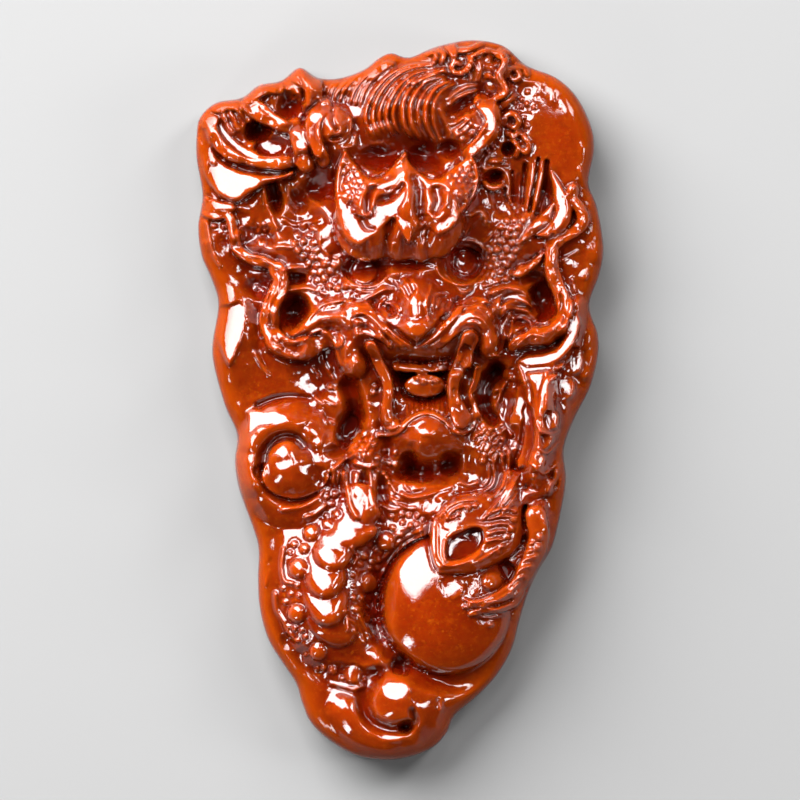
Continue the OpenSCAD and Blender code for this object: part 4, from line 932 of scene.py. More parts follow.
# Coils, scrolls, claw and arm
SWIRL_BALLS = [
    [-14.4, 39.8, 4.7, 3.5, 6, 1.2], [-15.9, 42.2, 2.4, 2.1, 20, 0.9], [18.6, 40, 2.2, 3, 0, 2.4],
]
COIL_RIDGES = [
    [0.7, 0.6, 1.4, 1.2, [(-7.6, 39.8), (-7.3, 37.4), (-6.9, 35.4), (-6, 33.8)]],
    [0.6, 0.5, 1.2, 1, [(-4.2, 40.4), (-3.9, 38), (-3.5, 35.6), (-2.4, 33.6)]],
    [0.5, 0.4, 1.2, 1, [(-9.6, 40), (-8, 41.4), (-5.9, 42.8)], [(-7.3, 20.8), (-7.2, 18.2)]],
    [0.5, 0.45, 1.2, 0.9, [(-6.2, 41.2), (-4.8, 40.8), (-3.2, 40.9)]],
    [0.4, 0.35, 0.9, 0.8, [(-9.2, 39.8), (-9.2, 38.6), (-8.6, 37.8)]],
    [0.35, 0.3, 0.8, 0.6, [(-8.4, 40), (-8.6, 38.4)], [(-7.7, 40), (-8.1, 38)], [(-6.2, 18.2),
     (-5.2, 16.4)], [(-4.3, 18.4), (-3.4, 17)]],
    [0.6, 0.5, 1.2, 1.2, [(-16.2, 34.8), (-13.6, 35.3), (-11.6, 36.4), (-10.4, 38), (-9.9, 39.2)]],
    [0.45, 0.4, 1, 0.9, [(-13, 33.8), (-11.6, 34.3), (-10.2, 35.4)]],
    [0.45, 0.4, 1, 1, [(-16.1, 29.4), (-16.4, 27), (-16, 25), (-14.8, 24.6)]],
    [0.5, 0.5, 1, 1, [(-17.3, 23.2), (-17.1, 21), (-16.2, 19.4), (-15.4, 17.8), (-14.4, 16.6)]],
    [0.5, 0.45, 0.7, 0.6, [(-9.6, 10.7), (-8, 10.3), (-6.4, 9.9), (-5, 10.2)]],
    [0.35, 0.3, 0.9, 0.7, [(-6.8, 19.7), (-5.6, 18.4), (-4.8, 16.4)], [(-5.6, 20.2), (-4.8, 18.6),
     (-4.2, 17)]],
    [0.35, 0.3, 0.8, 0.8, [(-6.6, 29.6), (-5.9, 28.2), (-6.4, 27.2)]],
    [0.4, 0.4, 1, 1, [(-2.2, 28), (-1, 29.4), (0.6, 30.8), (3, 32)]],
]
CLAW = [
    [1.8, 1.5, 1, 1, [(15.6, 38.6), (14, 35.6), (11.6, 35), (9, 34.8), (7, 33.4)]],
    [1.7, 1.2, 1.2, 1.3, [(15.8, 38), (15.6, 35), (15.2, 32.6), (14.7, 30.6)]],
    [1.5, 0.6, 1.2, 1, [(15, 30.4), (13.2, 28.6), (10.6, 27.2), (8, 26.6), (5.8, 26.6)]],
    [1.6, 1.4, 2.4, 2.6, [(18.8, 34), (19.2, 31.4), (18.6, 28.6), (17.2, 25.8)]],
    [1.5, 0.5, 2.6, 1.4, [(17.4, 26), (15.8, 24), (13.8, 22.7), (11.8, 22), (9.8, 21.8)]],
    [0.6, 0.4, 1.6, 1, [(16.8, 23.4), (15.8, 21.8), (13.8, 21), (11.4, 20.8), (9.8, 20.4)]],
    [1.4, 0.8, 1.2, 1, [(20, 38), (18, 36.8), (16.4, 35.8)]],
]
CLAW_BALLS = [[12.7, 24.9, 1.5, 1.4, 0, 1.3], [19, 35, 1.5, 1.6, 0, 1]]
CLAW_RIBS = [
    [0.35, 0.3, 0.9, 0.7, [(4.9, 34.4), (6.2, 36), (8.2, 36.8), (10.4, 37)], [(5.6, 33.9), (6.8, 35.3),
     (8.6, 36.1), (10.4, 36.2)], [(6.4, 33.5), (7.2, 34.6), (8.8, 35.3), (10.2, 35.4)], [(11.6, 33.6),
     (13, 35.2), (14.8, 37.6), (16, 39.6)], [(12.4, 36.4), (13.6, 37.2), (15, 38.8), (15.4, 40)],
     [(14, 35.6), (15.2, 37.4), (16.6, 39.8)]],
    [0.3, 0.3, 0.7, 0.5, [(6.1, 34.4), (6.7, 33.6), (7.8, 33.9)], [(10.4, 20.2), (12.4, 19.9),
     (14.4, 20.4)]],
    [0.4, 0.35, 0.9, 0.8, [(4.6, 33.6), (4.5, 31.4), (4.5, 29.4), (4.9, 27.6), (5.6, 26.8)]],
    [0.35, 0.3, 0.8, 0.7, [(5.2, 32.6), (5.2, 30.4), (5.3, 28.4), (6, 27.3)], [(6, 27.1), (7.4, 27.1),
     (8.8, 27.4), (10.2, 28), (11.2, 28.8)], [(16.6, 30), (17.2, 31.4), (17.6, 32.6)], [(19.9, 33.6),
     (20.6, 31.6), (20.6, 29.6), (19.8, 27.6)]],
    [0.3, 0.3, 0.8, 0.7, [(6.2, 30.6), (6.1, 29), (6.3, 27.8)]],
    [0.3, 0.3, 0.7, 0.6, [(6.6, 31.1), (7.4, 31.8), (8.4, 32.2)], [(7.6, 27.8), (8.6, 28), (9.6, 28.4)]],
    [0.4, 0.35, 0.8, 0.7, [(14.2, 29.8), (12.8, 28.9), (11.4, 28), (9.8, 27.3)]],
    [0.35, 0.3, 0.7, 0.6, [(5.4, 26.2), (7, 25.7), (9, 25.6), (10.8, 26)]],
    [0.3, 0.3, 0.8, 0.6, [(12.2, 34.4), (13.8, 34.9), (15.4, 34.9)], [(12.3, 33.5), (13.8, 33.9),
     (15.4, 33.9)], [(12.4, 32.6), (13.8, 32.9), (15.2, 32.8)], [(12.3, 31.5), (13.6, 31.9), (15, 31.8)],
     [(12, 30.4), (13.2, 30.7), (14.4, 30.7)], [(18.4, 30.2), (17.4, 30), (16.6, 29.4)], [(18.3, 29.2),
     (17.2, 28.9), (16.4, 28.3)], [(18.2, 28.2), (17.2, 27.8), (16.4, 27.2)], [(18, 27), (17, 26.7),
     (16.2, 26)], [(17.2, 25.6), (16.2, 25.2), (15.4, 24.4)]],
    [0.35, 0.3, 0.9, 0.6, [(16.4, 24.6), (15, 23.2), (13.4, 22.3), (11.6, 21.9)]],
    [0.35, 0.3, 0.8, 0.6, [(16.6, 23.4), (15.2, 22.2), (13.6, 21.6)]],
    [0.45, 0.4, 1, 0.9, [(9, 21.4), (10.4, 21), (11.8, 21.4), (13.2, 21), (15, 21.6)]],
    [0.4, 0.35, 0.8, 0.6, [(9, 22.4), (10.6, 22), (12, 22.6), (12.8, 23)]],
]
ARM = [
    [0.3, 0.3, 0.9, 0.9, [(19.4, 45.6), (20.6, 45.3), (22, 45.7)], [(19, 43.4), (20.3, 42.6), (22, 44.2)],
     [(18, 41.2), (20, 39.8), (21.8, 41.2)]],
    [0.4, 0.35, 1, 1, [(16.3, 54.6), (17.2, 52.6), (17.7, 50), (18.8, 47), (19.4, 45.8)]],
    [0.4, 0.35, 1, 0.9, [(15.2, 42.6), (15, 40), (14, 37.8)], [(14.1, 42.4), (14.5, 39.6), (13.7, 37.7),
     (11.8, 36.9)], [(13, 41.2), (13.1, 38.8), (12.2, 37.6), (10.4, 37.1)]],
    [0.35, 0.3, 0.8, 0.7, [(12.4, 41), (12.3, 39), (11.4, 38)], [(16.3, 37.2), (15.4, 35.8),
     (13.8, 33.9)]],
    [0.4, 0.35, 0.9, 0.8, [(15.9, 38.2), (15.2, 36.6), (13.6, 34.8), (12.3, 34)]],
    [0.5, 0.45, 1, 0.9, [(22, 40.6), (21.2, 38.8), (20.6, 37.4)]],
    [0.35, 0.3, 0.7, 0.6, [(22.4, 39), (22, 37.6)]],
]

# Flats turned to face one way: [lift, slope across, slope up, points, more curves]
HAND_OPENING = [
    [-2.4, -0.12, -0.3, [(6.5, 27.8), (6.2, 29.6), (6.9, 31), (8.4, 31.8), (10.2, 32.5), (11.5, 32.1),
     (11.8, 30.6), (11.2, 29.4), (9.8, 28.3), (8.2, 27.6)]],
    [-2, -0.3, 0.1, [(13.5, 27.2), (15, 27.8), (16.2, 26.6), (15.7, 25.2), (14.8, 24.3), (14.2, 25.4)]],
]
HEAD_FLATS = [
    [0.1, 0.3, -0.26, [(-26.9, 81.6), (-26.2, 83.4), (-24.8, 82.7), (-22.8, 81.9), (-20.4, 81.3),
     (-19, 80.7), (-19.2, 79.5), (-20.8, 78.5), (-22.6, 77.6), (-24.4, 78), (-26, 79.4)]],
    [0, 0.28, -0.28, [(-20.4, 85), (-19.6, 86), (-18, 86.4), (-16.4, 86), (-15.9, 84.9), (-16.6, 83.9),
     (-18, 83.8), (-19.4, 84.3)]],
    [0.1, 0.3, -0.3, [(-21, 91.6), (-20, 92.8), (-18.8, 92.6), (-19.2, 91.6), (-20.2, 90.9)],
     [(-15.6, 91.6), (-14.6, 92.2), (-13.7, 91.9), (-14.4, 91.3)]],
    [0.1, 0.3, -0.1, [(-15.6, 86.4), (-14.9, 87), (-14.4, 86), (-14.6, 85.3), (-15.2, 85.6)]],
    [0.1, 0.3, -0.3, [(-26.7, 77.8), (-24, 77.4), (-22.8, 77), (-22.9, 76.2), (-25, 76), (-26.8, 76.2)]],
    [0.1, 0.28, -0.26, [(-8.5, 76.6), (-8.3, 73.8), (-7.3, 72.1), (-5.7, 71.2), (-4.3, 72), (-3.2, 72.8),
     (-1.8, 74.1), (-0.6, 74.9), (0, 73.4), (0.7, 72), (1.5, 71.4), (1.9, 73.4), (1.2, 74.8), (0.2, 75.3),
     (0.1, 76.4), (0.8, 77.4), (1.2, 79.4), (0.6, 80.6), (-0.4, 79.2), (-1.6, 77.9), (-2.6, 77.6),
     (-3.2, 78.6), (-3.7, 77), (-4.4, 75.6), (-5.4, 75.6), (-6.4, 76.2), (-7.6, 77.8)]],
    [0.3, 0.28, -0.28, [(-3.4, 79.8), (-2.8, 78.9), (-1.4, 79), (-0.4, 79.8), (0.6, 80.8), (1.1, 81.6),
     (0.7, 82.2), (-0.4, 81.1), (-1.8, 80.5)]],
    [0.3, 0.3, -0.3, [(0.2, 83.6), (0.9, 84.3), (1.2, 83.2), (0.8, 82.4)]],
    [0.2, 0.3, -0.26, [(4.6, 80), (6, 79.9), (7.5, 78.6), (8.4, 76.6), (8.3, 74.9), (7.3, 73.6),
     (5.8, 72.8), (4.9, 72.9), (4.6, 74), (5.4, 75), (6.6, 75.6), (7.2, 76.8), (7, 78), (6.2, 78.9)]],
    [0.2, 0.32, -0.3, [(8.6, 72.6), (8.9, 74), (9.5, 75.2), (10.6, 76.1), (11.8, 75.9), (11.9, 75),
     (10.9, 74.9), (10, 73.6), (9.2, 72.6)], [(8.8, 83.4), (9.4, 84.8), (10.2, 85.2), (10.2, 84),
     (9.6, 83.2)]],
    [0, 0.3, -0.3, [(-25.2, 63), (-23.5, 63.4), (-22, 63.8), (-21.2, 62.5), (-21.2, 60), (-22, 57.5),
     (-23.4, 54.6), (-24.3, 55.5), (-25.3, 58), (-25.7, 60.5)]],
    [0.2, 0.3, -0.3, [(6.6, 99.4), (7.8, 99.4), (8, 97.6), (7.4, 97.2)]],
    [0.1, 0.3, -0.3, [(2, 94.6), (4, 95.6), (6, 96), (5.8, 95.2), (4, 94.6), (2.4, 93.8)]],
    [0.1, 0.32, -0.28, [(21.3, 80.2), (22.2, 79.2), (23.2, 77.6), (23.5, 75.8), (22.9, 74.2),
     (21.8, 73.2), (20.2, 72.9), (21, 74), (21.7, 75.2), (21.8, 77), (21.5, 78.8)]],
    [0.2, 0.3, -0.3, [(24.2, 67.2), (25, 68.2), (26.4, 69.4), (26.4, 67.4), (25.8, 66.4), (24.6, 66.8)]],
    [0.1, 0.3, -0.3, [(-16.4, 94), (-15.6, 94.8), (-14.8, 94.2), (-15.6, 93.4)], [(13.2, 77.2),
     (14.4, 77.5), (15.4, 78), (15.6, 77), (15.5, 76), (14.2, 75.7), (13.2, 76.3)], [(16, 76.8),
     (17.4, 77), (17.8, 76.2), (16.8, 75.9)]],
    [0.4, 0.32, -0.22, [(18.4, 83.9), (19, 83), (18.8, 80.8), (18.3, 78.4), (17.9, 76.4), (17.3, 76),
     (17.5, 78.4), (17.9, 80.8)], [(19.7, 83.2), (20.2, 82.2), (19.8, 80), (19.2, 77.6), (18.6, 75.8),
     (18.3, 76.4), (18.8, 78.8), (19.3, 81)]],
    [0.3, 0.32, -0.22, [(16.2, 81.4), (16.9, 81.6), (16.9, 79.4), (16.7, 77.2), (16.2, 77.2),
     (16.3, 79.2)]],
    [0.2, 0.3, -0.28, [(17.6, 73.4), (18.6, 74.4), (19.8, 75), (20, 74.2), (18.8, 73.4), (17.8, 72.8)],
     [(18.6, 69.6), (19.6, 70.6), (20.3, 70.4), (19.8, 69.2), (18.8, 68.9)], [(16.2, 67.6), (17.2, 68.6),
     (18, 68.4), (17.4, 67.4), (16.6, 66.9)]],
    [0.2, 0.32, -0.3, [(13.9, 62.8), (14, 64.4), (15.2, 65), (16.8, 64.8), (18.2, 63.6), (18.4, 62.6),
     (16.6, 63.4), (15.2, 63.6)]],
    [0.1, 0.3, -0.3, [(-10.8, 62.6), (-9.9, 63.4), (-8.4, 63.4), (-8.2, 62.4), (-9.4, 61.7),
     (-10.4, 61.8)], [(-6.4, 61.8), (-5, 62), (-3.8, 61.2), (-2.6, 59.8), (-1.9, 58.5), (-3, 58.4),
     (-4, 59.6), (-5.4, 60.8)], [(-6.2, 59.6), (-4.8, 59.9), (-3.2, 59), (-2, 58), (-3.2, 58),
     (-4.8, 59)], [(-0.4, 65.6), (0.6, 66.5), (2, 66.5), (2.8, 65.8), (2.2, 64.8), (1.4, 63.9),
     (0.5, 64.5)], [(7, 58.8), (8.4, 60.6), (9.8, 61.8), (10.8, 61.9), (10.2, 60.8), (8.8, 59.8),
     (7.8, 58.6)], [(8.4, 62.6), (10, 63.8), (11.8, 64.2), (12.8, 63.4), (11.6, 63), (9.8, 62.8),
     (8.8, 61.8)], [(14.6, 59.4), (15, 61), (16, 61.9), (16.2, 61.2), (15.6, 60.2), (15.2, 59)]],
    [0.4, 0.3, -0.3, [(16, 55.4), (17.6, 56.2), (19.8, 56.4), (22, 57.2), (23.2, 59.4), (24, 61),
     (24.4, 59.4), (23.4, 56.6), (21.4, 54.6), (19.4, 53.4), (18, 52.4), (16.8, 53.4)]],
    [0.1, 0.3, -0.3, [(18.6, 52.6), (19.8, 53), (20.8, 52.8), (20.4, 51), (19.6, 49.8), (18.8, 50.8)],
     [(22.1, 65), (22.6, 66.2), (23.3, 64.4), (23.6, 62.2), (22.9, 61.2), (22.6, 62.8)]],
    [0.1, 0.3, -0.2, [(20.7, 71.4), (21.6, 72.6), (22.6, 73), (21.9, 71.6), (21.6, 69.6), (20.8, 69.2)]],
]
BODY_FLATS = [
    [0.3, 0.3, -0.28, [(17.5, 54.1), (20.2, 53.9), (19.8, 51.8), (19.4, 48.8), (18.8, 49), (18.1, 51.4)]],
    [0.2, 0.3, -0.3, [(14.9, 54.5), (16.1, 54.5), (16.2, 53), (15, 52.8)]],
    [0.1, 0.3, -0.3, [(23.7, 57.4), (25.1, 57.2), (25.7, 55.6), (25.1, 53.7), (23.8, 53.4), (23.4, 55)],
     [(21.9, 53.1), (23.9, 53.1), (24.5, 51.8), (23.9, 50.2), (22.3, 50), (21.7, 51.4)], [(19.8, 48.5),
     (22, 48.4), (22, 46), (20.1, 45.9)], [(19.4, 45.3), (21.4, 45.2), (21, 43.5), (19.7, 43)],
     [(18.8, 42.4), (20.3, 42.3), (20, 40.9), (19, 40.8)], [(17.8, 40.1), (19.5, 40.1), (19.2, 39.1),
     (18, 39)], [(-21.3, 48.4), (-20.2, 48.9), (-18.6, 48.6), (-17, 48.4), (-15.6, 47.6), (-16.4, 46.9),
     (-18, 46.3), (-19.4, 46.1), (-20.4, 45.2), (-21.5, 45.6), (-21.2, 47)], [(-12.4, 45), (-11, 45),
     (-10.4, 44.2), (-11, 43.4), (-12.2, 43.8)], [(-20.4, 40.8), (-19.2, 40.6), (-19.2, 39.2),
     (-20.2, 39.4)]],
    [0.1, 0.25, -0.28, [(-2.8, 10.4), (-1.2, 11.1), (1.2, 11), (1.7, 9.6), (0, 8.8), (-2, 8.9)],
     [(-2.9, 3.8), (-1.2, 4), (0.4, 3.6), (0.2, 2.6), (-1.4, 2.4), (-2.8, 3)], [(5, 8.8), (6, 8.6),
     (6, 6.8), (5.2, 6.9)]],
    [0.1, 0.3, -0.3, [(-19, 24), (-18.8, 26.6), (-18.1, 28.2), (-17.4, 28), (-18, 25.6), (-18.4, 24)]],
    [0.2, 0.3, -0.3, [(16.4, 38.4), (17, 37.8), (18.6, 37.4), (19.8, 37.2), (18, 36.6), (16.8, 35.4),
     (16.2, 36.6)]],
    [0, 0.24, -0.22, [(5.4, 25.2), (7.4, 25.2), (9, 24.4), (8.6, 22.8), (7.4, 22.3), (6, 22.9)],
     [(9.2, 25), (10.8, 25.2), (11.4, 23.9), (10.4, 22.7), (9.2, 23.2)]],
    [0, 0.26, -0.26, [(10.6, 19.8), (12, 19.8), (13.2, 18.9), (12.4, 18.4), (11.2, 18.9)]],
    [0.1, 0.28, -0.28, [(12, 56.4), (13.2, 56.7), (13.8, 56.2), (12.6, 55.7)]],
]
LIP_FLATS = [
    [0.1, 0.3, -0.3, [(-6.9, 61.2), (-5.6, 62), (-4.3, 61.7), (-3.1, 60.5), (-2.1, 59), (-1.3, 57.8),
     (-2.5, 58.5), (-3.7, 59.8), (-5.1, 60.8)], [(-6.5, 59.2), (-5, 60), (-3.8, 59.7), (-2.5, 58.4),
     (-3.4, 58.6), (-5, 59.2)], [(5.4, 57.9), (6.4, 59.6), (7.6, 61.1), (9, 62.2), (10.5, 62.5),
     (10.2, 61.5), (8.8, 60.4), (7.8, 59), (6.7, 57.8)], [(8, 63.1), (9.4, 64.2), (11, 64.5),
     (12.6, 63.9), (11.2, 63.5), (9.6, 63)]],
    [0.1, 0.3, -0.2, [(9.2, 57.9), (9, 56.6), (8.4, 55.1), (7.8, 55.4), (8.2, 57)]],
    [0.1, 0.3, -0.3, [(2.8, 57.6), (4, 58.9), (5.2, 60), (5.6, 59.6), (4.6, 58.4), (3.6, 57.4)]],
]

# Ribbons turned to face one way: [half width, lift, slope across, slope up, points, more curves]
HEAD_RIBBONS = [
    [0.7, 0, 0.34, -0.24, [(-27.6, 87.8), (-27, 85.8), (-26.3, 84), (-25.6, 82.6)]],
    [0.75, 0, 0.32, -0.28, [(-24.9, 88.8), (-24.3, 87), (-23, 85.5), (-21.4, 84.4), (-19.4, 83.7)]],
    [0.35, 0, 0.34, -0.24, [(-25.4, 86.2), (-25, 84.8), (-24, 83.5)]],
    [0.45, 0, 0.24, -0.34, [(-22.4, 82.7), (-20.4, 82), (-18, 81.5), (-15.4, 81.6)]],
    [0.6, 0, 0.3, -0.3, [(-19.5, 91), (-18.2, 89.9), (-16.8, 88.9), (-15.4, 88.1)]],
    [0.5, 0, 0.34, -0.16, [(-13.4, 94.9), (-12.9, 93.4), (-12.6, 91.8), (-12.7, 90.5)]],
    [0.8, 0, 0.34, -0.2, [(-11, 89.9), (-12, 88.4), (-12.3, 87), (-11.8, 85.4), (-11, 83.5)]],
    [0.45, 0, 0.32, 0.1, [(-9.8, 86.2), (-8.2, 86.4), (-7.1, 87.2), (-6.8, 88.2), (-7, 89.3)]],
    [0.35, 0, 0.28, -0.3, [(-14.4, 82.1), (-13, 81.6), (-11.9, 82.2), (-11.8, 83.8)]],
    [0.85, 0, 0.34, -0.24, [(11.2, 90.5), (12.5, 89.3), (12.6, 87.5), (11.4, 85.8), (9.4, 83.9)]],
    [0.4, 0, 0.34, -0.2, [(20.4, 95.2), (21, 93.4), (21.3, 91.2)]],
    [0.55, 0, 0.34, -0.12, [(10.1, 83.4), (10.5, 81.4), (10.4, 79.6), (9.6, 77.6)]],
    [0.6, 0, 0.34, -0.16, [(-7.7, 83.6), (-8.4, 81), (-8.5, 78.6)]],
    [0.4, 0, 0.32, -0.26, [(-27.2, 77.6), (-27.1, 76.4), (-26, 75.9), (-24, 75.8), (-23.4, 74),
     (-22.9, 71.8)]],
    [0.4, 0, 0.3, -0.3, [(-22, 70.4), (-20.4, 69.5), (-18.6, 69.2), (-16.6, 68.2)]],
    [0.4, 0, 0.34, -0.1, [(-15.6, 65.6), (-16.8, 63), (-17.4, 60.6)]],
    [0.35, 0, 0.3, -0.3, [(17, 59.2), (18.4, 60.5), (20.2, 60.8), (21.8, 61.8), (22.5, 63.6), (22, 65)]],
    [0.4, 0, 0.34, -0.2, [(20.6, 69.8), (20.4, 71.6), (21.4, 73.2)]],
    [0.35, 0, 0.34, -0.2, [(21.6, 68.6), (22.6, 66), (23.2, 63.6)]],
]
BODY_RIBBONS = [
    [0.95, 0.5, 0.32, -0.28, [(16.6, 55.4), (18.6, 55.5), (20.8, 55.9), (22.3, 56.7), (23.5, 58.3),
     (24.1, 60.3), (24.5, 62)]],
    [0.5, 0.3, 0.3, -0.3, [(16.8, 54.5), (18, 54.1), (20, 54.4), (21.8, 54.4), (22.8, 55.2)]],
    [0.55, 0.5, 0.34, -0.2, [(19.9, 47.8), (19.7, 50.4), (20.4, 52.5), (21.9, 53.5)]],
    [0.85, 0.3, 0.34, -0.14, [(16.9, 52.2), (16.8, 49.8), (16.2, 47.8), (15.5, 46.6)]],
    [0.85, 0.3, 0.34, -0.18, [(17.5, 49.4), (17.9, 47), (17.9, 44.8), (17.3, 42.4), (16.4, 40.6)]],
    [0.45, 0.2, 0.3, -0.3, [(21.2, 38), (22, 40), (22.6, 41.8)]],
    [0.9, 0, 0.3, -0.3, [(9, 57.6), (9.4, 55.8), (9, 54.4)]],
    [0.45, 0, 0.3, -0.3, [(7.5, 51.7), (8.2, 49.3)]],
    [0.55, 0, 0.3, -0.3, [(10.2, 49.9), (10.9, 47.5)]],
    [0.45, 0, 0.3, -0.3, [(11, 54.5), (10.8, 52.8), (10.2, 51)]],
    [0.4, 0.2, 0.34, -0.1, [(13.6, 49.2), (14, 51), (15, 52.6)]],
    [0.45, 0.1, 0.3, -0.3, [(14.4, 46.7), (15.7, 45)]],
    [0.4, 0.1, 0.26, -0.32, [(12, 56.2), (13.8, 56)]],
    [0.45, 0.1, 0.28, -0.32, [(6.9, 46), (8.4, 45.3)]],
]

# Beads: [x, y, radius]
CURL_BEADS = [
    [-13.1, 82.9, 1.25], [12.8, 93.3, 1.05], [11.2, 97.7, 0.4], [12.4, 97.4, 0.6], [13.4, 96.6, 0.35],
    [12.4, 95.1, 0.3], [10.1, 86.9, 0.5], [14.8, 82.7, 0.4], [16, 91.3, 0.4], [16.9, 91.7, 0.4],
    [17.6, 91.1, 0.4], [17.7, 92.8, 0.45], [18.6, 90.6, 0.35], [16.8, 90.7, 0.35], [7.9, 86.9, 0.5],
    [8.6, 86.1, 0.4], [12.9, 85.2, 0.4], [13.4, 86.5, 0.4], [12.2, 84.4, 0.35], [17.2, 89.2, 0.35],
    [17.6, 88, 0.35],
]
COIL_BEADS = [
    [-12.2, 31.6, 1.2], [-10, 32.8, 0.75], [-8.7, 34.2, 0.6], [-10.2, 34, 0.45], [-9.4, 35.6, 0.5],
    [-8.9, 37, 0.6], [-10, 36.6, 0.4], [-8, 36.2, 0.4], [-13.2, 29.4, 0.75], [-14.6, 30, 0.55],
    [-15.2, 28.9, 0.4], [-14, 26.6, 1.4], [-14.2, 24.3, 0.45], [-15.1, 23.1, 0.4], [-16.2, 23.9, 0.4],
    [-15.9, 22, 0.45], [-14, 22.9, 0.35], [-14.2, 20.4, 1.35], [-14.6, 18.4, 0.5], [-13.6, 18.1, 0.4],
    [-15.3, 18.6, 0.35], [-14.1, 16.7, 0.4], [-13.1, 17.2, 0.45], [-11.3, 15.1, 1.25], [-13, 14.7, 0.35],
    [-10.6, 12.9, 0.45], [-11.4, 12.7, 0.4], [-9.2, 12.6, 0.65], [-6.5, 11.9, 1.3], [-8, 11.4, 0.35],
    [-4.9, 11.3, 0.35], [-1.9, 30.4, 1.35], [-4.9, 28.4, 0.6], [-3.3, 29.2, 0.45], [-2.9, 27.8, 0.45],
    [-4.2, 29.9, 0.4], [-3.9, 27.5, 0.35], [-5.4, 27.2, 0.4], [-3.1, 26.6, 0.4], [-4.1, 26.7, 0.35],
    [-4.4, 24.6, 1.4], [-6.5, 25.7, 0.35], [-6.4, 24.2, 0.35], [-6.4, 22.6, 0.5], [-5.3, 22.6, 0.45],
    [-4.2, 22.4, 0.4], [-6, 21, 0.6], [-4.6, 21.2, 0.35], [-4.4, 19.6, 0.55], [-3.6, 19.2, 0.35],
    [-1, 32.3, 0.5], [0.2, 31.3, 0.4], [0.4, 33, 0.45], [1.5, 32.6, 0.4], [0.3, 34.2, 0.5],
    [1.3, 34, 0.45], [2.4, 33.9, 0.4], [-1.2, 33.8, 0.4], [3.2, 33.4, 0.35], [2.4, 32.7, 0.3],
]
CLAW_BEADS = [
    [15.9, 34.7, 0.5], [15.8, 33.5, 0.55], [15.4, 32.2, 0.55], [14.9, 31.1, 0.5], [19.4, 31, 0.5],
    [19.2, 29.6, 0.55], [18.8, 28.2, 0.5], [18.2, 26.8, 0.5], [17.6, 25.2, 0.5], [9.5, 35.1, 0.5],
    [10.5, 35.4, 0.4], [8.1, 34.2, 0.4], [15.4, 23.2, 0.35], [13.6, 29, 0.4],
]
WHISKER_BEADS = [
    [-24.4, 74.1, 0.45], [-22.4, 73.2, 0.5], [-25.7, 74.1, 0.4], [-17, 58.2, 0.35], [-14.3, 56.1, 0.35],
]
FACE_BEADS = [
    [-19.6, 73.4, 0.4], [-18.6, 73.6, 0.4], [-17.8, 73.2, 0.4], [-19.5, 72, 0.3], [-18.7, 71.8, 0.3],
    [-18.7, 74.4, 0.35], [-19.8, 65.6, 0.6], [-19.1, 65.2, 0.5], [-19.4, 64.6, 0.45], [13.5, 72.2, 0.62],
    [13.5, 70.8, 0.62],
]
THROAT_BEADS = [
    [-3, 42, 0.45], [-2.1, 41.6, 0.45], [-1.4, 41.2, 0.45], [-0.6, 41, 0.45], [-2, 43, 0.35],
    [-0.7, 42.6, 0.35], [-3, 40.2, 0.4], [-2.2, 39.8, 0.35], [-1.7, 39.2, 0.35], [-1.5, 38.4, 0.3],
    [-3.4, 51.8, 0.5], [-3.6, 51, 0.45], [-6.2, 48, 0.4], [-9.6, 51.8, 0.5], [13, 41.8, 0.6],
    [11.5, 41.6, 0.5], [2.4, 53, 0.4], [3.3, 52.7, 0.6], [4.2, 52.6, 0.4], [5.1, 52.8, 0.55],
    [5.7, 52.9, 0.35], [14.8, 53.6, 0.7], [15.4, 53.1, 0.5],
]
TEETH = [
    [-0.2, 55.3, 0.34], [0.6, 55.3, 0.34], [1.4, 55.2, 0.4], [2.3, 55.3, 0.4], [3.2, 55.3, 0.42],
    [4.2, 55.2, 0.38], [4.9, 55.2, 0.32], [5.6, 55.2, 0.4], [6.5, 55.2, 0.36],
]

# Fields of fine scales: [spacing, radius, outline, more outlines]
SCALES = [
    [1.2, 0.52, [(-15, 72.6), (-12.6, 74.6), (-11.4, 72.4), (-10.4, 70), (-8.8, 69), (-8.4, 67),
     (-6.8, 65.4), (-7.6, 64.6), (-10.4, 65), (-12.6, 66.2), (-13, 68.6), (-14.6, 70.4)], [(12, 69.4),
     (12.2, 72), (13.6, 74.6), (15, 76), (17.6, 75.6), (17, 73), (16.6, 70.6), (15.8, 68.6), (15.2, 66.8),
     (12.6, 65.6), (11.8, 67.4)]],
    [0.95, 0.44, [(-8.1, 83.2), (-6.9, 83), (-5.2, 81.2), (-4.3, 80.4), (-5.2, 79), (-6.2, 77.4),
     (-7.6, 77.6), (-8, 79.8), (-8, 81.6)]],
    [1, 0.46, [(9.9, 83.2), (7.6, 82.1), (5.8, 80.8), (7.6, 80), (8.2, 78.2), (9.6, 77.8), (10.2, 79.4),
     (10.3, 81.6)]],
    [0.85, 0.36, [(-7, 45.4), (-3.8, 45), (-3.2, 43.2), (-4.4, 41.6), (-6, 42.4), (-6.6, 44)]],
    [0.85, 0.38, [(10.4, 46.8), (12.6, 48), (14.6, 46), (14.8, 43.4), (13.6, 41.8), (11.4, 42),
     (10.6, 44)]],
]


def scale_beads(table):
    """Fine scales in staggered rows over outlined fields, each a little out of line."""
    for spacing, radius, outline in each_curve(table):
        path = smooth_curve(outline, closed=True)[:-1, :2]
        low, high = path.min(axis=0), path.max(axis=0)
        beads = []
        for row in range(int((high[1] - low[1]) / (spacing * SCALE_ROW)) + 2):
            y = low[1] + row * spacing * SCALE_ROW
            for column in range(int((high[0] - low[0]) / spacing) + 2):
                x = low[0] + (column + row % 2 / 2) * spacing
                if inside(path, np.array([[x]]), np.array([[y]])).any():
                    beads.append([x + SCALE_DRIFT * math.sin(7.3 * x + 3.1 * y),
                                  y + SCALE_DRIFT * math.sin(5.9 * y - 2.3 * x), radius])
        yield beads


